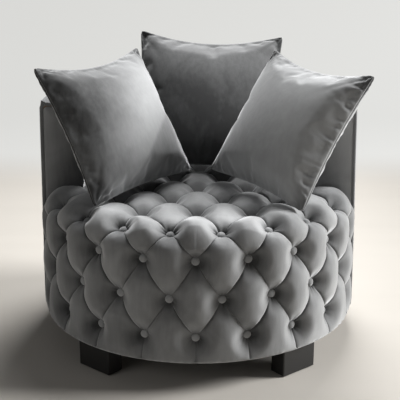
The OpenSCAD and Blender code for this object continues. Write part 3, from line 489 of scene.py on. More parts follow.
class Tufting:
    """Base surface, buttons and folds of the deep-buttoned cover."""

    roll = 0.006            # radius of the turn under the drum's edge
    under = 0.03            # width of the hem beneath the drum
    clearance = 0.001       # from the arms, as an angle, and from the back
    button_room = 0.019     # least distance of a button from the cover's edge
    seat_reach = 0.36       # radius within which the seat's buttons lie in front
    seat_rows = 6
    side_rows = 4
    pit_floor = 0.0085      # radius of the flat at a pit's bottom
    path_steps = 40         # steps along the fold between two buttons
    row_share = 0.87        # distance between the mesh's rows on the seat, as a share of its step
    edge_roll = 0.012       # how far the cover rolls in at the arms and the back
    edge_reach = 0.02       # width of that roll
    hem_tuck = 0.007        # how far it draws in at the drum's edge
    # From the drum's top row to the seat: column on the drum, then column and row on the seat
    joining_folds = ((1, 0, 0), (1, 2, 0), (3, 2, 0), (5, 3, 1), (7, 4, 2))

    def __init__(self, sizes):
        self.sizes = sizes
        self.flat_radius = sizes.radius - sizes.shoulder
        self.side_top = sizes.seat_height - sizes.shoulder
        self.side_length = self.side_top - HEM - self.roll
        self.turn_length = sizes.shoulder * QUARTER
        self.step_angle = 2 * math.pi / sizes.columns
        self.end_angle = sizes.arm_angle - self.clearance
        self.wall_radius = sizes.back_radius - self.clearance
        self.outer_plan = (self.flat_radius + self.turn_length + self.side_length
                           + self.roll * QUARTER + self.under)
        self.buttons = {}
        self.virtual = {}
        self.folds = []
        self.place_buttons()
        self.place_folds()
        self.fold_points = [(self.lift(path)[0], start, end) for path, start, end in self.folds]
        self.button_points = self.lift(list(self.buttons.values()))[0]

    def plan_radius(self, height):
        """Plan radius of a height along the side's profile."""
        return self.flat_radius + self.turn_length + self.side_top - height

    def from_side(self, angle, height):
        """Place in the plan of a point on the drum's side."""
        return on_circle(self.plan_radius(height), angle)

    def lift(self, plan):
        """Points and outward normals on the base surface, for places in the plan."""
        sizes = self.sizes
        radius, angle = polar(plan)
        beyond = radius - self.flat_radius
        bend = np.clip(beyond / sizes.shoulder, 0, QUARTER)
        down = np.clip(beyond - self.turn_length, 0, None)
        straight = np.minimum(down, self.side_length)
        turn = np.clip((down - self.side_length) / self.roll, 0, QUARTER)
        under = np.clip(down - self.side_length - self.roll * QUARTER, 0, None)
        out = (np.minimum(radius, self.flat_radius) + sizes.shoulder * np.sin(bend)
               - self.roll * (1 - np.cos(turn)) - under)
        height = (sizes.seat_height - sizes.shoulder * (1 - np.cos(bend)) - straight
                  - self.roll * np.sin(turn) + under * HEM_DROP / self.under)
        level = np.sin(bend) * np.cos(turn)
        points = np.stack([out * np.sin(angle), -out * np.cos(angle), height], 1)
        normals = np.stack(
            [level * np.sin(angle), -level * np.cos(angle), np.cos(bend) - np.sin(turn)], 1)
        return points, normals

    def inside(self, plan, margin):
        """Which places lie inside the cover's outline by a margin."""
        radius, angle = polar(plan)
        off_arm = radius * np.sin(self.end_angle - np.abs(angle))
        front = (np.abs(angle) < self.end_angle) & (off_arm > margin) & (radius < self.outer_plan - margin)
        return front | (radius < self.wall_radius - margin)

    def place_buttons(self):
        """Finds each button's place in the plan, by its zone, column and row.

        The virtual ones lie beyond the cover's edge, and only folds run to them."""
        sizes = self.sizes
        last = int((self.end_angle - math.asin(self.button_room / sizes.radius)) / self.step_angle)
        for column, row in lattice(last + 1, self.side_rows):
            group = self.buttons if abs(column) <= last else self.virtual
            group["side", column, row] = self.from_side(
                column * self.step_angle, sizes.low_row + row * sizes.row_gap)
        for column, row in lattice(5, self.seat_rows + 1):
            self.place_seat_button(column, row, Vector((
                column * sizes.seat_gap_x / 2, row * sizes.seat_gap_y - sizes.seat_row_1)))

    def place_seat_button(self, column, row, place):
        reach = self.sizes.back_radius - self.button_room
        if abs(math.atan2(place.x, -place.y)) < self.sizes.arm_angle:
            reach = self.seat_reach
        if place.length < reach and row < self.seat_rows:
            self.buttons["seat", column, row] = place
        elif place.y > 0:
            self.virtual["seat", column, row] = place

    def place_folds(self):
        """Finds the folds as lists of places in the plan, with the strength of each end."""
        known = {**self.buttons, **self.virtual}
        for name in known:
            for side in (-1, 1):
                other = (name[0], name[1] + side, name[2] + 1)
                if other in known and (name in self.buttons or other in self.buttons):
                    self.add_fold(name, other, known)
        for side in (-1, 1):
            for ring, column, row in self.joining_folds:
                self.add_fold(("side", side * ring, self.side_rows - 1), ("seat", side * column, row), known)
        for zone, column, row in self.buttons:
            if zone == "side" and row == 0:
                self.add_pleat(column)

    def add_fold(self, first, second, known):
        """The fold between two buttons, as far as it lies inside the cover's outline."""
        if second[0] == "side":
            path = self.side_path(first, second)
        else:
            path = [known[first].lerp(known[second], i / self.path_steps)
                    for i in range(self.path_steps + 1)]
        inner = [place for place, keep in zip(path, self.inside(path, 0.0015)) if keep]
        if len(inner) > 2:
            self.folds.append((inner, 1.0, 1.0))

    def side_path(self, first, second):
        low = self.sizes.low_row + first[2] * self.sizes.row_gap
        return [self.from_side((first[1] + (second[1] - first[1]) * t) * self.step_angle,
                               low + t * self.sizes.row_gap)
                for t in np.linspace(0, 1, self.path_steps + 1)]

    def add_pleat(self, column):
        """The upright pleat from a lowest button to the drum's edge, where it is weaker."""
        top = self.sizes.low_row
        path = [self.from_side(column * self.step_angle, top + t * (HEM + 0.0005 - top))
                for t in np.linspace(0, 1, 19)]
        self.folds.append((path, 1.0, 0.3))

    def fill_points(self):
        """Places in the plan for the mesh, in even rows over the side and over the seat."""
        step = self.sizes.step
        loose = []
        side_low = HEM - self.roll
        rows = int((self.side_top + 0.03 - side_low) / step)
        columns = int(2 * self.end_angle * self.sizes.radius / step)
        for i in range(rows):
            for j in range(columns + 1):
                angle = -self.end_angle + (j + 0.5 * (i % 2)) * 2 * self.end_angle / columns
                loose.append(self.from_side(angle, side_low + i * step))
        top_plan = self.plan_radius(side_low + (rows - 0.4) * step)
        count = int(top_plan / step) + 1
        for i in range(-count, count + 1):
            for j in range(-count, count + 1):
                place = Vector(((j + 0.5 * (i % 2)) * step, i * step * self.row_share))
                if place.length < top_plan:
                    loose.append(place)
        return np.array(loose)

    def fold_rows(self):
        """Rows of places beside each fold."""
        rows = []
        for path, _, _ in self.folds:
            for a, b in zip(path[:-1], path[1:]):
                place = (a + b) / 2
                radius = place.length
                out = place / radius
                around = Vector((-out.y, out.x))
                stretch = 1.0
                if radius > self.flat_radius:
                    stretch = radius / polar(self.lift([place])[0])[0][0]
                along = b - a
                flat = Vector((along.dot(around) / stretch, along.dot(out))).normalized()
                for offset in (-0.0055, -0.002, 0.002, 0.0055):
                    shift = Vector((-flat.y, flat.x)) * offset
                    rows.append(place + around * shift.x * stretch + out * shift.y)
        return np.array(rows)

    def button_rings(self):
        """Rings of places round each button, dense enough for its gathers."""
        rings = []
        for (zone, _, row), centre in self.buttons.items():
            stretch = 1.0
            if zone == "side" and row < self.side_rows - 1:
                stretch = centre.length / self.sizes.radius
            out = centre.normalized() if centre.length > 0 else Vector((0, -1))
            around = Vector((-out.y, out.x))
            for radius in (0.006, 0.0095, 0.0125, 0.0165, 0.0215):
                for k in range(40):
                    a = (k + 0.5) * math.pi / 20
                    rings.append(centre + around * radius * math.cos(a) * stretch
                                 + out * radius * math.sin(a))
        return np.array(rings)

    def fold_distances(self, points):
        """For each fold: the points near it, their distance and the fold's strength there."""
        reach = self.sizes.crown_reach
        for line, start, end in self.fold_points:
            middle = line[len(line) // 2]
            half = max(np.linalg.norm(line[0] - middle), np.linalg.norm(line[-1] - middle))
            near = np.nonzero(((points - middle) ** 2).sum(1) < (half + reach) ** 2)[0]
            if len(near) == 0:
                continue
            best = np.full(len(near), FAR)
            where = np.zeros(len(near))
            for i, (a, b) in enumerate(zip(line[:-1], line[1:])):
                span = b - a
                t = np.clip(((points[near] - a) @ span) / (span @ span), 0, 1)
                gap = np.linalg.norm(points[near] - a - t[:, None] * span, axis=1)
                closer = gap < best
                best[closer] = gap[closer]
                where[closer] = (i + t[closer]) / (len(line) - 1)
            yield near, best, start + (end - start) * where

    def depth(self, points):
        """How far each point of the base surface is drawn in, and how much painted shade darkens it in the
        folds and round the buttons.
        """
        sizes = self.sizes
        rise = np.ones(len(points))
        slit = np.zeros(len(points))
        crease_and_pit_shade = np.zeros(len(points))
        for near, gap, strength in self.fold_distances(points):
            share = np.sin(np.clip(gap / sizes.crown_reach, 0, 1) * QUARTER) ** 0.7
            rise[near] *= 1 - strength * (1 - share)
            slit[near] = np.maximum(slit[near], strength * np.exp(-(gap / 0.0016) ** 1.5))
            # Painted shade along the folds: a narrow dark line and a wider dark band beside it.
            crease_and_pit_shade[near] = np.maximum(
                crease_and_pit_shade[near], strength * (0.28 * bell(gap, 0.0022) + 0.2 * bell(gap, 0.011)))
        depth = sizes.fold_depth * (1 - rise) + sizes.slit_depth * slit
        draw = np.random.RandomState(SEED)
        for name, centre in zip(self.buttons, self.button_points):
            offset = points - centre
            gap = np.linalg.norm(offset, axis=1)
            near = np.nonzero(gap < sizes.pit_reach + 0.02)[0]
            beyond = np.clip((gap[near] - self.pit_floor) / (sizes.pit_reach - self.pit_floor), 0, 1)
            share = (1 - beyond) ** 2.1
            depth[near] = sizes.pit_depth * share + depth[near] * (1 - share)
            # Reach of the painted shade round each button, wider on the seat.
            pit_shade_reach = 0.045 if name[0] == "seat" else 0.025
            crease_and_pit_shade[near] = np.maximum(crease_and_pit_shade[near], bell(gap[near], pit_shade_reach))
            self.gather(depth, near, offset[near], gap[near], name, draw)
        return depth, crease_and_pit_shade

    def gather(self, depth, near, offset, gap, name, draw):
        """Adds the small pleats that run out from a button."""
        in_top_row = name[0] == "side" and name[2] == self.side_rows - 1
        strength = self.sizes.gather * (2.0 if in_top_row else 1.0)
        count = draw.randint(9, 13)
        phase = draw.uniform(0, 2 * math.pi, 3)
        weight = draw.uniform(0.5, 1.0)
        out = self.lift([self.buttons[name]])[1][0]
        first = np.cross(out, (0.0, 0.0, 1.0) if abs(out[2]) < 0.9 else (0.0, 1.0, 0.0))
        first /= np.linalg.norm(first)
        second = np.cross(out, first)
        around = np.arctan2(offset @ second, offset @ first)
        swell = 0.55 + 0.45 * np.sin(around + phase[1])
        pleats = np.cos(count * around + phase[0] + 0.7 * np.sin(2 * around + phase[2]))
        fade = np.exp(-np.clip(gap - 0.011, 0, None) / 0.016) * np.clip((gap - 0.007) / 0.004, 0, 1)
        fade *= np.clip((self.sizes.pit_reach - gap) / 0.02, 0, 1)
        depth[near] -= strength * weight * swell * pleats * fade

    def edge_depth(self, plan, points):
        """How far the cover rolls in at the arms and the back, and tucks in at the drum's edge."""
        radius, angle = polar(plan)
        angle = np.abs(angle)
        ahead = angle < self.end_angle
        off_arm = polar(points)[0] * np.sin(np.clip(self.end_angle - angle, 0, QUARTER))
        to_arm = np.where(ahead, off_arm, FAR)
        to_wall = np.where(ahead, FAR, self.wall_radius - radius)
        corner = np.hypot(np.abs(points[:, 0]) - self.wall_radius * math.sin(self.end_angle),
                          points[:, 1] + self.wall_radius * math.cos(self.end_angle))
        gap = np.minimum(np.where(radius > self.wall_radius, to_arm, corner), to_wall)
        rolled = self.edge_roll * (1 - np.clip(gap / self.edge_reach, 0, 1)) ** 2
        low = np.clip((self.sizes.low_row - points[:, 2]) / (self.sizes.low_row - HEM), 0, 1)
        tucked = self.hem_tuck * low ** 2 * (radius > self.flat_radius)
        return rolled, tucked

    def outline(self):
        """The cover's outline in the plan, as one closed path."""
        step = 0.004
        straight = int((self.outer_plan - self.wall_radius) / step)
        turns = int(2 * self.end_angle * self.sizes.radius / step)
        rear = int((2 * math.pi - 2 * self.end_angle) * self.wall_radius / step)
        corners = (
            (self.wall_radius, self.end_angle, straight), (self.outer_plan, self.end_angle, turns),
            (self.outer_plan, -self.end_angle, straight), (self.wall_radius, -self.end_angle, rear),
            (self.wall_radius, self.end_angle - 2 * math.pi, 0))
        path = []
        for (radius, angle, count), (next_radius, next_angle, _) in zip(corners[:-1], corners[1:]):
            path += [on_circle(radius + (next_radius - radius) * i / count,
                               angle + (next_angle - angle) * i / count) for i in range(count)]
        return path

    def nearest_fold(self, points):
        gap = np.full(len(points), FAR)
        for near, distance, _ in self.fold_distances(points):
            gap[near] = np.minimum(gap[near], distance)
        return gap

    def keep(self, places, fold_gap, button_gap):
        """The places that lie inside, clear of folds and buttons."""
        places = places[self.inside(places, 0.003)]
        points = self.lift(places)[0]
        clear = self.nearest_fold(points) > fold_gap
        for centre in self.button_points:
            clear &= ((points - centre) ** 2).sum(1) > button_gap ** 2
        return [Vector(place) for place in places[clear]]

    def build(self):
        """Points and triangles of the cover's outer face, and its painted light and shade."""
        plan = self.outline()
        rim = list(range(len(plan)))
        edges = [(i, (i + 1) % len(rim)) for i in rim]
        for path, _, _ in self.folds:
            first = len(plan)
            plan += path
            edges += [(first + i, first + i + 1) for i in range(len(path) - 1)]
        plan += self.keep(self.fill_points(), 0.0085, 0.0245)
        plan += self.keep(self.fold_rows(), 0.0015, 0.0235)
        plan += self.keep(self.button_rings(), 0.0009, 0.0)
        made = delaunay_2d_cdt(plan, edges, [rim], 1, 1e-6)
        plan = np.array([tuple(place) for place in made[0]])
        points, normals = self.lift(plan)
        rolled, tucked = self.edge_depth(plan, points)
        depth, crease_and_pit_shade = self.depth(points)
        under = points[:, 2] < HEM + self.roll
        depth = np.where(under, tucked + 0.002, depth + (rolled + tucked))
        placed = points - normals * depth[:, None]
        placed[under] = points[under]
        placed[under, :2] *= (1 - depth[under] / self.sizes.radius)[:, None]
        # Painted light and shade: the drum's and the seat's, darkened by the painted shade of the folds and
        # buttons.
        return placed, [tuple(face) for face in made[2]], self.painted_light_and_shade(placed) * (1 - crease_and_pit_shade) - crease_and_pit_shade

    def painted_light_and_shade(self, points):
        """Painted light and shade, away from the folds: paler on the drum's right, where the window falls,
        and on the seat's front, with painted shade towards the seat's back under the pillows.
        """
        angle = polar(points)[1]
        top = smooth(self.side_top, self.sizes.seat_height, points[:, 2])
        side = 0.62 * smooth(0.2, 0.85, angle) - 0.06
        seat = 0.46 - 1.3 * smooth(-0.25, 0.0, points[:, 1])
        return side * (1 - top) + seat * top

    def window_side_light(self, points, normals):
        """Painted light on the flanks that turn to the window on the right, and painted shade on those that
        turn from it; on the drum's left side the other way round.
        """
        top = smooth(self.side_top, self.sizes.seat_height, points[:, 2])
        angle = polar(points)[1] * (1 - top)
        turn = normals[:, 0] * np.cos(angle) + normals[:, 1] * np.sin(angle)
        return turn * (0.85 * smooth(-0.6, 0.2, angle) - 0.3)


class CHAIR_OT_tufted_cover(Operator):
    """Adds the deep-buttoned cover of the seat and the drum's front"""

    bl_idname = "chair.tufted_cover"
    bl_label = "Tufted Cover"

    def execute(self, context):
        sizes = context.scene.chair_tufts
        tufting = Tufting(sizes)
        points, faces, pile_and_painted_light = tufting.build()
        piece = new_piece("tufted_cover", points, faces)
        # Stores the painted light and shade: the cover's own, and that of the flanks towards the window.
        store_painted_light(piece, pile_and_painted_light + tufting.window_side_light(points, normals_of(piece)))
        line_cover(piece, sizes.wall)
        finish_piece(piece, "velvet", "chair", ("seat_cover", "front_cover"))
        return {"FINISHED"}


# The back and the arms, whose covers follow one section of radius and height

def arc_points(x, y, radius, start, end, steps=6):
    angles = [start + (end - start) * i / steps for i in range(steps + 1)]
    return [(x + radius * math.cos(a), y + radius * math.sin(a)) for a in angles]


def spaced(points, step):
    """Points along a path, no further apart than a step."""
    path = [points[0]]
    for a, b in zip(points[:-1], points[1:]):
        count = max(1, math.ceil(math.dist(a, b) / step))
        path += [(a[0] + (b[0] - a[0]) * i / count, a[1] + (b[1] - a[1]) * i / count)
                 for i in range(1, count + 1)]
    return path


class Shell:
    """A cover round the back, swept from one arm's front to the other and turned in at both."""

    steps = 150         # of the sweep
    lead = 0.016        # angle between an arm's front and the sweep's first ring

    def __init__(self, tufts, back, path, strip):
        self.corner = back.corner
        self.arm_angle = tufts.arm_angle
        self.path = path
        along = np.gradient(path, axis=0)
        along /= np.linalg.norm(along, axis=1)[:, None]
        self.inward = np.stack([-along[:, 1], along[:, 0]], 1)
        self.strip = strip

    def ring(self, angle, behind, inset):
        """The path at an angle from the front, behind an arm's plane and moved inward."""
        section = self.path + self.inward * inset[:, None]
        behind = math.copysign(behind, angle)
        x = section[:, 0] * math.sin(angle) + math.cos(angle) * behind
        y = -section[:, 0] * math.cos(angle) + math.sin(angle) * behind
        return np.stack([x, y, section[:, 1]], 1)

    def build(self, name, edge_depth, ripple):
        """Rings of points, from the left arm's front round the back to the right one's."""
        size = len(self.path)
        wraps = [(0.0015, self.strip), (0.0, self.strip - 0.0012), (0.0, self.strip - 0.004)]
        wraps += [(self.corner * (1 - math.cos(a)), self.corner * (1 - math.sin(a)))
                  for a in (k * math.pi / 12 for k in range(7))]
        rings = [self.ring(-self.arm_angle, behind, np.full(size, inset)) for behind, inset in wraps]
        start = self.arm_angle + self.lead
        for i in range(self.steps + 1):
            angle = -start - (2 * math.pi - 2 * start) * i / self.steps
            rings.append(self.ring(angle, 0.0, edge_depth + ripple(angle, self.path[:, 1])))
        rings += [self.ring(self.arm_angle, behind, np.full(size, inset))
                  for behind, inset in reversed(wraps)]
        faces = [(a, a + 1, a + size + 1, a + size)
                 for i in range(len(rings) - 1) for a in range(i * size, (i + 1) * size - 1)]
        return new_piece(name, np.concatenate(rings), faces)


def finish_back_cover(piece, wall, node):
    """Gives a cover of the back or of an arm its thickness, its outward faces and its material."""
    line_cover(piece, wall)
    bpy.ops.object.mode_set(mode="EDIT")
    bpy.ops.mesh.select_all(action="SELECT")
    bpy.ops.mesh.normals_make_consistent(inside=False)
    bpy.ops.object.mode_set(mode="OBJECT")
    finish_piece(piece, "velvet", "chair", (node,), math.radians(40))


def add_back_cover(context, name, path, strip, ripple, pile):
    """Adds one cover of the back, drawn in at the seams along its edges, with painted shade over it that is
    paler at the top, where light falls on the rim.
    """
    back = context.scene.chair_back
    path = np.array(spaced(path, 0.012))
    seam = np.minimum(np.linalg.norm(path - path[0], axis=1), np.linalg.norm(path - path[-1], axis=1))
    shell = Shell(context.scene.chair_tufts, back, path, strip)
    piece = shell.build(name, back.groove * bell(seam, 0.0025), ripple)
    heights = places_of(piece)[:, 2]
    # Painted shade over the cover, lifted towards painted light along the top.
    store_painted_light(piece, pile + (0.3 - pile) * 0.6 * smooth(BACK_TOP - 0.03, BACK_TOP, heights))
    finish_back_cover(piece, back.wall, f"{name}_cover")


class CHAIR_OT_back_covers(Operator):
    """Adds the smooth covers inside and outside the back, sewn together along the top"""

    bl_idname = "chair.back_covers"
    bl_label = "Back Covers"

    def execute(self, context):
        tufts = context.scene.chair_tufts
        back = context.scene.chair_back
        seam = tufts.radius - back.taper - back.seam_inset
        sewn = (seam, BACK_TOP - 0.0012)
        outer = tufts.radius - back.taper * (1 - back.outer_round / (BACK_TOP - HEM))
        outside = [sewn, (seam + 0.001, BACK_TOP)]
        outside += arc_points(outer - back.outer_round, BACK_TOP - back.outer_round, back.outer_round,
                              QUARTER * 0.9, 0)
        outside += [(tufts.radius - 0.001, HEM + 0.03)]
        outside += arc_points(tufts.radius - 0.013, HEM + 0.012, 0.011, 0, -QUARTER)
        outside += [(tufts.radius - 0.04, HEM + 0.001)]
        inside = [(tufts.back_radius, BACK_FOOT)]
        inside += arc_points(tufts.back_radius + back.inner_round, BACK_TOP - back.inner_round,
                             back.inner_round, math.pi, QUARTER)
        inside += [(seam - 0.001, BACK_TOP), sewn]
        # The last numbers are painted shade: -0.25 outside, -0.6 on the inside of the back.
        add_back_cover(context, "outside_back", outside[::-1], back.strip, self.outside_ripple, -0.25)
        add_back_cover(context, "inside_back", inside[::-1], back.strip * 0.5, self.inside_ripple, -0.6)
        return {"FINISHED"}

    def outside_ripple(self, angle, height):
        """The cover lies almost flat, a little slack between its ends."""
        level = np.sin(np.clip((height - HEM) / (BACK_TOP - HEM), 0, 1) * math.pi)
        return -level * (0.0014 + 0.0012 * math.sin(7 * angle + 1) + 0.0008 * np.sin(17 * angle + 9 * height))

    def inside_ripple(self, angle, height):
        """Softly padded above the seat, with shallow pulls under the top seam."""
        pad_foot = 0.42
        pulls = 0.0008 * math.sin(38 * angle) * bell(BACK_TOP - height, 0.05)
        level = np.sin(np.clip((height - pad_foot) / (BACK_TOP - pad_foot), 0, 1) * math.pi)
        return -(0.004 + 0.0012 * math.sin(6 * angle)) * level + pulls


class CHAIR_OT_arm_fronts(Operator):
    """Adds the softly crowned fronts of the two arms"""

    bl_idname = "chair.arm_fronts"
    bl_label = "Arm Fronts"

    columns = 22
    low_rows = 11       # even rows below, where the tufting hides the fronts
    high_rows = 44      # rows above, closer towards the rounded top

    def execute(self, context):
        for name, side in (("left", -1), ("right", 1)):
            self.add_front(context, name, side)
        return {"FINISHED"}

    def add_front(self, context, name, side):
        tufts = context.scene.chair_tufts
        back = context.scene.chair_back
        top = BACK_TOP - back.strip
        heights = [HEM + 0.012 + i * 0.03 for i in range(self.low_rows)]
        heights += [heights[-1] + (top - heights[-1]) * math.sin(QUARTER * i / self.high_rows)
                    for i in range(1, self.high_rows + 1)]
        angle = side * tufts.arm_angle
        ahead = Vector((-math.cos(angle), -math.sin(angle), 0)) * side
        points = []
        pile = []
        for height in heights:
            low, high = self.reach(tufts, back, height, top)
            for j in range(self.columns + 1):
                radius = low + (high - low) * (0.5 - 0.5 * math.cos(math.pi * j / self.columns))
                gap = min(radius - low, high - radius, top - height)
                swell = back.crown * math.sin(min(1.0, gap / 0.035) * QUARTER)
                swell *= min(1.0, max(0.0, (height - 0.4) / 0.05))
                swell += 0.0006 * math.sin(31 * height + 60 * radius) * min(1.0, gap / 0.02)
                sunk = back.groove * bell(gap, 0.0018)
                points.append(Vector((*on_circle(radius, angle), height)) + ahead * (swell - sunk))
                # Painted light: paler towards each arm's outer edge, towards the top, and on the right arm,
                # towards the window; painted shade on the inner part.
                outward = smooth(tufts.back_radius, tufts.radius, radius)
                pile.append(0.75 * outward + 0.35 * smooth(0.45, BACK_TOP, height) - 0.36 + 0.17 * side)
        row = self.columns + 1
        faces = [(a, a + 1, a + row + 1, a + row)[::side]
                 for i in range(len(heights) - 1) for a in range(i * row, (i + 1) * row - 1)]
        piece = new_piece(f"{name}_arm_front", points, faces)
        store_painted_light(piece, pile)
        finish_back_cover(piece, back.wall, f"{name}_arm_cover")

    def reach(self, tufts, back, height, top):
        """Inner and outer radius of an arm's front at a height, less its rounded corners."""
        inner = tufts.back_radius + back.strip * 0.5
        if height < BACK_FOOT:
            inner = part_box("front_cover")[1].x - 0.04
        outer = tufts.radius - back.taper * (height - HEM) / (BACK_TOP - HEM) - back.strip
        return (inner + self.rounded_off(back.inner_round - back.strip * 0.5, top - height),
                outer - self.rounded_off(back.outer_round - back.strip * 0.4, top - height))

    def rounded_off(self, turn, down):
        """How much a corner of a radius takes off, at a distance down from the top."""
        above = max(0.0, turn - down)
        return turn - math.sqrt(max(0.0, turn ** 2 - above ** 2))


# The pillows: their angles (turn, lean, tip), tip-to-tip width, thickness, and how far the soft
# tufts, which are fuller than the solids, carry each from its solid's place
PILLOWS = {
    "left": ((50.6, 29.3, -3.3), 0.406, 0.135, (0.0, 0.01, 0.018)),
    "right": ((-50.6, 32.0, 5.5), 0.403, 0.135, (-0.002, 0.008, 0.015)),
    "back": ((0.0, 30.9, 2.6), 0.456, 0.12, (0.0, 0.006, 0.014)),
}
# Strength of the gathers at each pillow's right, left, top and bottom seams
SEAM_PULLS = {
    "left": (0.5, 1.0, 1.0, 0.8),
    "right": (1.5, 0.6, 1.0, 1.1),
    "back": (0.6, 0.6, 0.7, 0.6),
}
TIP_START = 0.93        # share of the half width past which the tips are rounded off
EDGE_WIDTH = 0.004      # width over which a pillow's edge runs out into the seam
CLOTH_FRAMES = 20


def pillow_frame(node, turn, lean, tip):
    """The axes of a pillow and the middle of its lower edge, found from its CAD solid."""
    axes = Matrix.Rotation(turn, 3, "Z") @ Matrix.Rotation(-lean, 3, "X") @ Matrix.Rotation(tip, 3, "Y")
    places = places_of(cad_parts[node]) @ np.array(axes)
    low = places.min(0)
    high = places.max(0)
    origin = axes @ Vector(((low[0] + high[0]) / 2, (low[1] + high[1]) / 2, low[2]))
    return axes, origin


def pillow_mesh(name, width, thickness, settings, axes, origin, cells):
    """A pillow of two panels that share the points of the seam, laid out as its solid is."""
    marks = [math.sin(QUARTER * (2 * i / cells - 1)) for i in range(cells + 1)]
    index = {}
    points = []
    places = []
    for side in (-1, 1):
        for i, v in enumerate(marks):
            for j, u in enumerate(marks):
                on_seam = i in (0, cells) or j in (0, cells)
                if side == 1 and on_seam:
                    index[side, i, j] = index[-1, i, j]
                    continue
                index[side, i, j] = len(points)
                points.append(origin + axes @ pillow_point(u, v, side, width, thickness, settings))
                places.append((u, v, 0 if on_seam else side))
    faces = [[index[side, i, j], index[side, i, j + 1], index[side, i + 1, j + 1],
              index[side, i + 1, j]][::-side]
             for side in (-1, 1) for i in range(cells) for j in range(cells)]
    piece = new_piece(name, points, faces)
    for group, on_panel in (("seam", False), ("panel", True)):
        members = [i for i, place in enumerate(places) if (place[2] != 0) == on_panel]
        piece.vertex_groups.new(name=group).add(members, 1.0, "REPLACE")
    marked = piece.data.attributes.new("panel_place", "FLOAT_VECTOR", "POINT")
    marked.data.foreach_set("vector", np.array(places, np.float32).ravel())
    return piece


def pillow_point(u, v, side, width, thickness, settings):
    """A point of a pillow's panel, from the middle of its lower edge."""
    half = thickness / 2 * max(0.0, (1 - u * u) * (1 - v * v)) ** 0.5
    edge = min(1.0, min(1 - abs(u), 1 - abs(v)) * width / 2 / EDGE_WIDTH)
    half = math.hypot(half, settings.tip_half * edge ** 0.5)
    pull = settings.top_sag if v > 0 else settings.drawn_in
    near_u, near_v = (max(0.0, abs(at) - TIP_START) / (1 - TIP_START) for at in (u, v))
    tip = settings.tip_inset * near_u * near_v
    return Vector((
        width / 2 * u * (1 - settings.drawn_in * (1 - v * v)) - math.copysign(tip, u),
        side * half,
        width / 2 * (1 + v * (1 - pull * (1 - u * u))) - math.copysign(tip, v)))


def panel_places(piece):
    """The u, v and side of each point of a pillow, as they were laid out."""
    place = np.zeros(len(piece.data.vertices) * 3, np.float32)
    piece.data.attributes["panel_place"].data.foreach_get("vector", place)
    return place.reshape(-1, 3).T.astype(float)


def seam_gap(off, across, width, thickness):
    """Distance over the panel from a seam, at a share of the half width from it."""
    rise = thickness / 2 * np.sqrt(np.clip(2 * off - off ** 2, 0, None) * (1 - across ** 2))
    return np.hypot(width / 2 * off, rise)


def fill_pillow(piece, width, thickness, settings):
    """Blows a pillow up as cloth that is a little longer than its seams."""
    scene = bpy.context.scene
    before = places_of(piece)
    make_active(piece)
    cloth = piece.modifiers.new("Cloth", "CLOTH")
    for key, value in {
            "quality": 6, "mass": 0.25, "tension_stiffness": 25, "compression_stiffness": 25,
            "shear_stiffness": 8, "bending_stiffness": 0.35, "air_damping": 4, "use_pressure": True,
            "uniform_pressure_force": settings.pressure, "shrink_min": -settings.slack,
            "vertex_group_mass": "seam", "pin_stiffness": 1}.items():
        setattr(cloth.settings, key, value)
    cloth.settings.effector_weights.gravity = 0
    cloth.collision_settings.use_collision = False
    cloth.point_cache.frame_start = 1
    cloth.point_cache.frame_end = CLOTH_FRAMES
    for moment in range(1, CLOTH_FRAMES + 1):
        scene.frame_set(moment)
    filled = piece.evaluated_get(bpy.context.evaluated_depsgraph_get())
    shift = places_of(filled) - before
    piece.modifiers.remove(cloth)
    scene.frame_set(1)
    moved = np.linalg.norm(shift, axis=1)
    shift *= np.minimum(1.0, settings.swell / np.maximum(moved, 1e-9))[:, None]
    u, v, _ = panel_places(piece)
    seam = np.minimum(*(seam_gap(1 - np.abs(a), b, width, thickness) for a, b in ((u, v), (v, u))))
    shift *= smooth(0.0, 0.022, seam)[:, None]
    move_points(piece, before + shift)
    add_modifier(piece, "SMOOTH", {"factor": 0.4, "iterations": 2, "vertex_group": "panel"})
    apply_modifiers(piece)


def pillow_painted_light(name, u, v, seam):
    """Painted light and shade on a pillow: lighter towards the side where the window falls, painted shade
    over the back pillow, deepest low down, and a darker band along a crisp line on the left pillow.
    """
    if name == "left":
        pile = 1.06 * smooth(-0.7, 0.3, u - 0.4 * v) - 0.66
        pile -= 0.55 * smooth(-0.03, 0.07, 0.75 * (u - 0.955) + 0.09 - v + 0.03 * np.sin(5 * u))
    elif name == "back":
        pile = 0.36 * smooth(-0.4, 1.0, v) - 0.88
    else:
        pile = 0.72 * smooth(-0.7, 0.8, u) + 0.05
    # Painted shade at the tips and towards the top, against the overhead lamp's sheen there, and in the seam.
    tips = smooth(0.7, 1.0, np.abs(u)) * smooth(0.6, 0.95, np.abs(v))
    return pile - 0.42 * smooth(0.45, 1.0, v) - 1.1 * tips - 0.8 * bell(seam, 0.002)


def add_gathers(depth, draw, along, side, gap, width, strength, crease):
    """Adds the small gathers that run in from one seam, on both panels."""
    for panel in (-1, 1):
        mine = np.where(side * panel >= 0, 1.0, 0.0)
        at = 0.02 - width / 2
        while at < width / 2 - 0.015:
            at += draw.uniform(0.008, 0.022)
            deep = draw.uniform(0.2, 1.0) ** 1.5 * strength * crease
            wide = draw.uniform(0.0035, 0.008)
            run = draw.uniform(0.012, 0.034) * (0.7 + 0.5 * strength)
            slant = draw.uniform(-0.5, 0.5)
            offset = (along - at - slant * gap) / wide
            shape = bell(offset, 1) - 0.45 * bell(np.abs(offset) - 1.9, 1)
            fade = smooth(0.0, 0.014, gap) * bell(gap, run)
            depth += mine * deep * shape * fade


def add_tip_folds(depth, draw, x, y, side, crease):
    """Adds the folds that fan out from one tip, each on one panel."""
    reach = np.hypot(x, y)
    around = np.arctan2(y, x)
    for _ in range(7):
        angle = draw.uniform(0.1, 1.47)
        deep = draw.uniform(0.3, 1.0) * 1.5 * crease
        panel = draw.choice((-1, 1))
        offset = (around - angle) * reach / (0.004 + 0.06 * reach)
        fade = np.clip(reach / 0.03, 0, 1) * bell(reach, draw.uniform(0.05, 0.1))
        depth += np.where(side * panel >= 0, 1, 0) * deep * bell(offset, 1) * fade


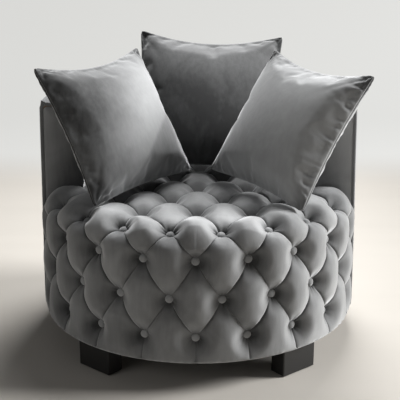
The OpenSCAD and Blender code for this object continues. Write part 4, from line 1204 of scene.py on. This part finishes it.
def tailor_pillow(piece, width, thickness, settings, name):
    """Presses in the seam's groove, the gathers beside it and the folds that leave the tips."""
    u, v, side = panel_places(piece)
    draw = np.random.RandomState(SEED + len(name))
    depth = np.zeros(len(u))
    nearest = np.full(len(u), FAR)
    seams = ((v, 1 - u), (v, 1 + u), (u, 1 - v), (u, 1 + v))
    for (across, off), strength in zip(seams, SEAM_PULLS[name]):
        gap = seam_gap(off, across, width, thickness)
        nearest = np.minimum(nearest, gap)
        add_gathers(depth, draw, across * width / 2, side, gap, width, strength, settings.crease)
    for u_tip in (-1, 1):
        for v_tip in (-1, 1):
            add_tip_folds(depth, draw, (1 - u * u_tip) * width / 2, (1 - v * v_tip) * width / 2, side,
                          settings.crease)
    body = thickness / 2 * np.sqrt(np.clip((1 - u * u) * (1 - v * v), 0, 1))
    depth = np.minimum(
        depth, 0.5 * np.hypot(body, settings.tip_half) * np.clip(nearest / EDGE_WIDTH, 0, 1))
    depth += settings.seam_depth * (bell(nearest, 0.0016) - 0.4 * bell(nearest - 0.004, 0.0018))
    # Stores the pillow's painted light and shade.
    store_painted_light(piece, pillow_painted_light(name, u, v, nearest))
    move_points(piece, places_of(piece) - normals_of(piece) * depth[:, None])


def add_filling(name, width, thickness, settings, axes, origin):
    """The loose filling inside a pillow, a little smaller than its cover all round."""
    gap = settings.filling_gap
    piece = pillow_mesh(f"{name}_filling", width - 2 * gap, thickness - gap, settings, axes,
                        origin + axes @ Vector((0, 0, gap)), settings.filling_cells)
    finish_piece(piece, "wadding", f"{name}_pillow", (f"{name}_pillow_filling",))


def add_pillow(context, name):
    settings = context.scene.chair_pillows
    angles, width, thickness, carried = PILLOWS[name]
    node = f"{name}_pillow_cover"
    axes, origin = pillow_frame(node, *(math.radians(angle) for angle in angles))
    origin += Vector(carried)
    piece = pillow_mesh(f"{name}_pillow", width, thickness, settings, axes, origin, settings.cells)
    add_filling(name, width, thickness, settings, axes, origin)
    fill_pillow(piece, width, thickness, settings)
    add_modifier(piece, "SUBSURF", {"levels": 1, "render_levels": 1})
    apply_modifiers(piece)
    tailor_pillow(piece, width, thickness, settings, name)
    finish_piece(piece, "pillow_velvet", f"{name}_pillow", (node,))


class CHAIR_OT_pillows(Operator):
    """Adds the loose pillows that lean on the left arm, on the right arm and on the back"""

    bl_idname = "chair.pillows"
    bl_label = "Pillows"

    def execute(self, context):
        for name in PILLOWS:
            add_pillow(context, name)
        return {"FINISHED"}


class CHAIR_OT_dress_frame(Operator):
    """Gives every carried-over solid its material"""

    bl_idname = "chair.dress_frame"
    bl_label = "Dress Frame"

    def execute(self, context):
        for slot, names in NODE_FINISHES.items():
            for name in names:
                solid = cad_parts[name]
                for place in solid.material_slots:
                    place.material = finish_of(slot)
                if not len(solid.material_slots):
                    solid.data.materials.append(finish_of(slot))
        return {"FINISHED"}


class CHAIR_OT_stage(Operator):
    """Adds the floor, the backdrop, the lamps and the camera"""

    bl_idname = "chair.stage"
    bl_label = "Stage"

    floor_size = 9.0
    backdrop_height = 4.5
    # Each lamp's name, place, size and power
    lamps = (
        ("window", (7.9, 0.7, 4.3), 3.6, 1200.0),
        ("overhead", (0.3, 1.1, 2.8), 1.2, 92.0),
        ("fill", (-2.4, -2.0, 1.4), 2.0, 9.0),
    )
    lamp_aim = (0, 0, 0.4)

    def execute(self, context):
        self.add_floor(context)
        self.add_room_light(context)
        self.add_lamps(context)
        self.add_camera(context)
        return {"FINISHED"}

    def add_floor(self, context):
        """One sheet that runs back, fades from the floor into the backdrop's glow and curves up."""
        deselect_all()
        bpy.ops.mesh.primitive_plane_add(size=self.floor_size, location=(0, 0, 0))
        floor = context.active_object
        floor.name = "floor"
        bpy.ops.object.mode_set(mode="EDIT")
        bpy.ops.mesh.select_all(action="DESELECT")
        bpy.ops.object.mode_set(mode="OBJECT")
        for edge in floor.data.edges:
            edge.select = min(floor.data.vertices[i].co.y for i in edge.vertices) > 1
        bpy.ops.object.mode_set(mode="EDIT")
        bpy.ops.mesh.select_mode(type="EDGE")
        bpy.ops.mesh.extrude_region_move(TRANSFORM_OT_translate={"value": (0, 0, self.backdrop_height)})
        bpy.ops.object.mode_set(mode="OBJECT")
        add_modifier(floor, "BEVEL", {"width": 1.2, "segments": 12, "limit_method": "ANGLE"})
        apply_modifiers(floor)
        bpy.ops.object.shade_smooth()
        floor.data.materials.append(self.floor_finish(context.scene.chair_finish))

    def floor_finish(self, colours):
        """Pale boards with painted shade towards the right, where the window's light falls strongest, and the
        glow behind them that only the camera sees.
        """
        paint = Paint("floor", Roughness=0.6, Specular_IOR_Level=0.2, Emission_Strength=1.0)
        across, back = (
            paint.add("ShaderNodeSeparateXYZ", {}, {"Vector": paint.place()}, axis) for axis in "XY")
        seen = paint.add("ShaderNodeLightPath", {}, {}, "Is Camera Ray")
        wall = back.above(1.5, 2.3)
        cloud = paint.noise(paint.place((0.5, 3, 1)), 2.0, 2.0)
        # Painted shade: the boards darker towards the right, under the window's light.
        window_side_shade = across.above(0.2, 1.3)
        boards = paint.mix(window_side_shade * 0.8 + cloud * 0.2, tuple(colours.floor), tone(colours.floor, 0.62))
        paint.set("Base Color", paint.mix(wall, boards, (0.12, 0.12, 0.12)))
        paint.set("Emission Color", paint.mix(seen * wall, (0, 0, 0), tuple(colours.backdrop)))
        return paint.material

    def add_room_light(self, context):
        """A weak light from all round, which looks brighter to the camera."""
        world = bpy.data.worlds.new("studio")
        context.scene.world = world
        world.use_nodes = True
        nodes = Nodes(world.node_tree)
        sky = world.node_tree.nodes["Background"]
        seen = nodes.add("ShaderNodeLightPath", {}, {}, "Is Camera Ray")
        nodes.feed(sky.inputs["Color"], (1.0, 0.99, 0.98, 1))
        nodes.feed(sky.inputs["Strength"], nodes.add(
            "ShaderNodeMapRange", {}, {"Value": seen, "To Min": 0.07, "To Max": 0.62}))

    def add_lamps(self, context):
        for name, place, size, power in self.lamps:
            deselect_all()
            bpy.ops.object.light_add(type="AREA", location=place)
            lamp = context.active_object
            lamp.name = name
            lamp.data.shape = "DISK"
            lamp.data.size = size
            lamp.data.energy = power
            aim = Vector(self.lamp_aim) - Vector(place)
            lamp.rotation_euler = aim.to_track_quat("-Z", "Y").to_euler()

    def add_camera(self, context):
        deselect_all()
        bpy.ops.object.camera_add(
            location=(0.042, -2.409, 1.08),
            rotation=(math.radians(90 - 16.2), 0, math.radians(0.892)))
        camera = context.active_object
        camera.data.sensor_width = 36.0
        camera.data.lens = 76.5
        context.scene.camera = camera


class CHAIR_PT_panel(Panel):
    """Lists the steps that dress the chair"""

    bl_idname = "CHAIR_PT_panel"
    bl_label = "Accent Chair"
    bl_space_type = "VIEW_3D"
    bl_region_type = "UI"
    bl_category = "Chair"

    def draw(self, context):
        for setting in SETTINGS:
            group = getattr(context.scene, setting)
            for name in group.__annotations__:
                self.layout.prop(group, name)
        for operator in OPERATORS:
            self.layout.operator(operator.bl_idname)


SETTINGS = {
    "chair_tufts": TuftSettings,
    "chair_back": BackSettings,
    "chair_pillows": PillowSettings,
    "chair_finish": FinishSettings,
}
OPERATORS = (
    CHAIR_OT_dress_frame,
    CHAIR_OT_tufted_cover,
    CHAIR_OT_back_covers,
    CHAIR_OT_arm_fronts,
    CHAIR_OT_pillows,
    CHAIR_OT_stage,
)


def register():
    for group in (*SETTINGS.values(), *OPERATORS, CHAIR_PT_panel):
        bpy.utils.register_class(group)
    for name, group in SETTINGS.items():
        setattr(bpy.types.Scene, name, PointerProperty(type=group))


def unregister():
    for name in SETTINGS:
        delattr(bpy.types.Scene, name)
    for group in reversed((*SETTINGS.values(), *OPERATORS, CHAIR_PT_panel)):
        bpy.utils.unregister_class(group)


def main():
    register()
    bpy.context.scene.view_settings.view_transform = "Standard"
    bpy.ops.chair.dress_frame()
    bpy.ops.chair.tufted_cover()
    bpy.ops.chair.back_covers()
    bpy.ops.chair.arm_fronts()
    bpy.ops.chair.pillows()
    bpy.ops.chair.stage()


if __name__ == "__main__":
    main()
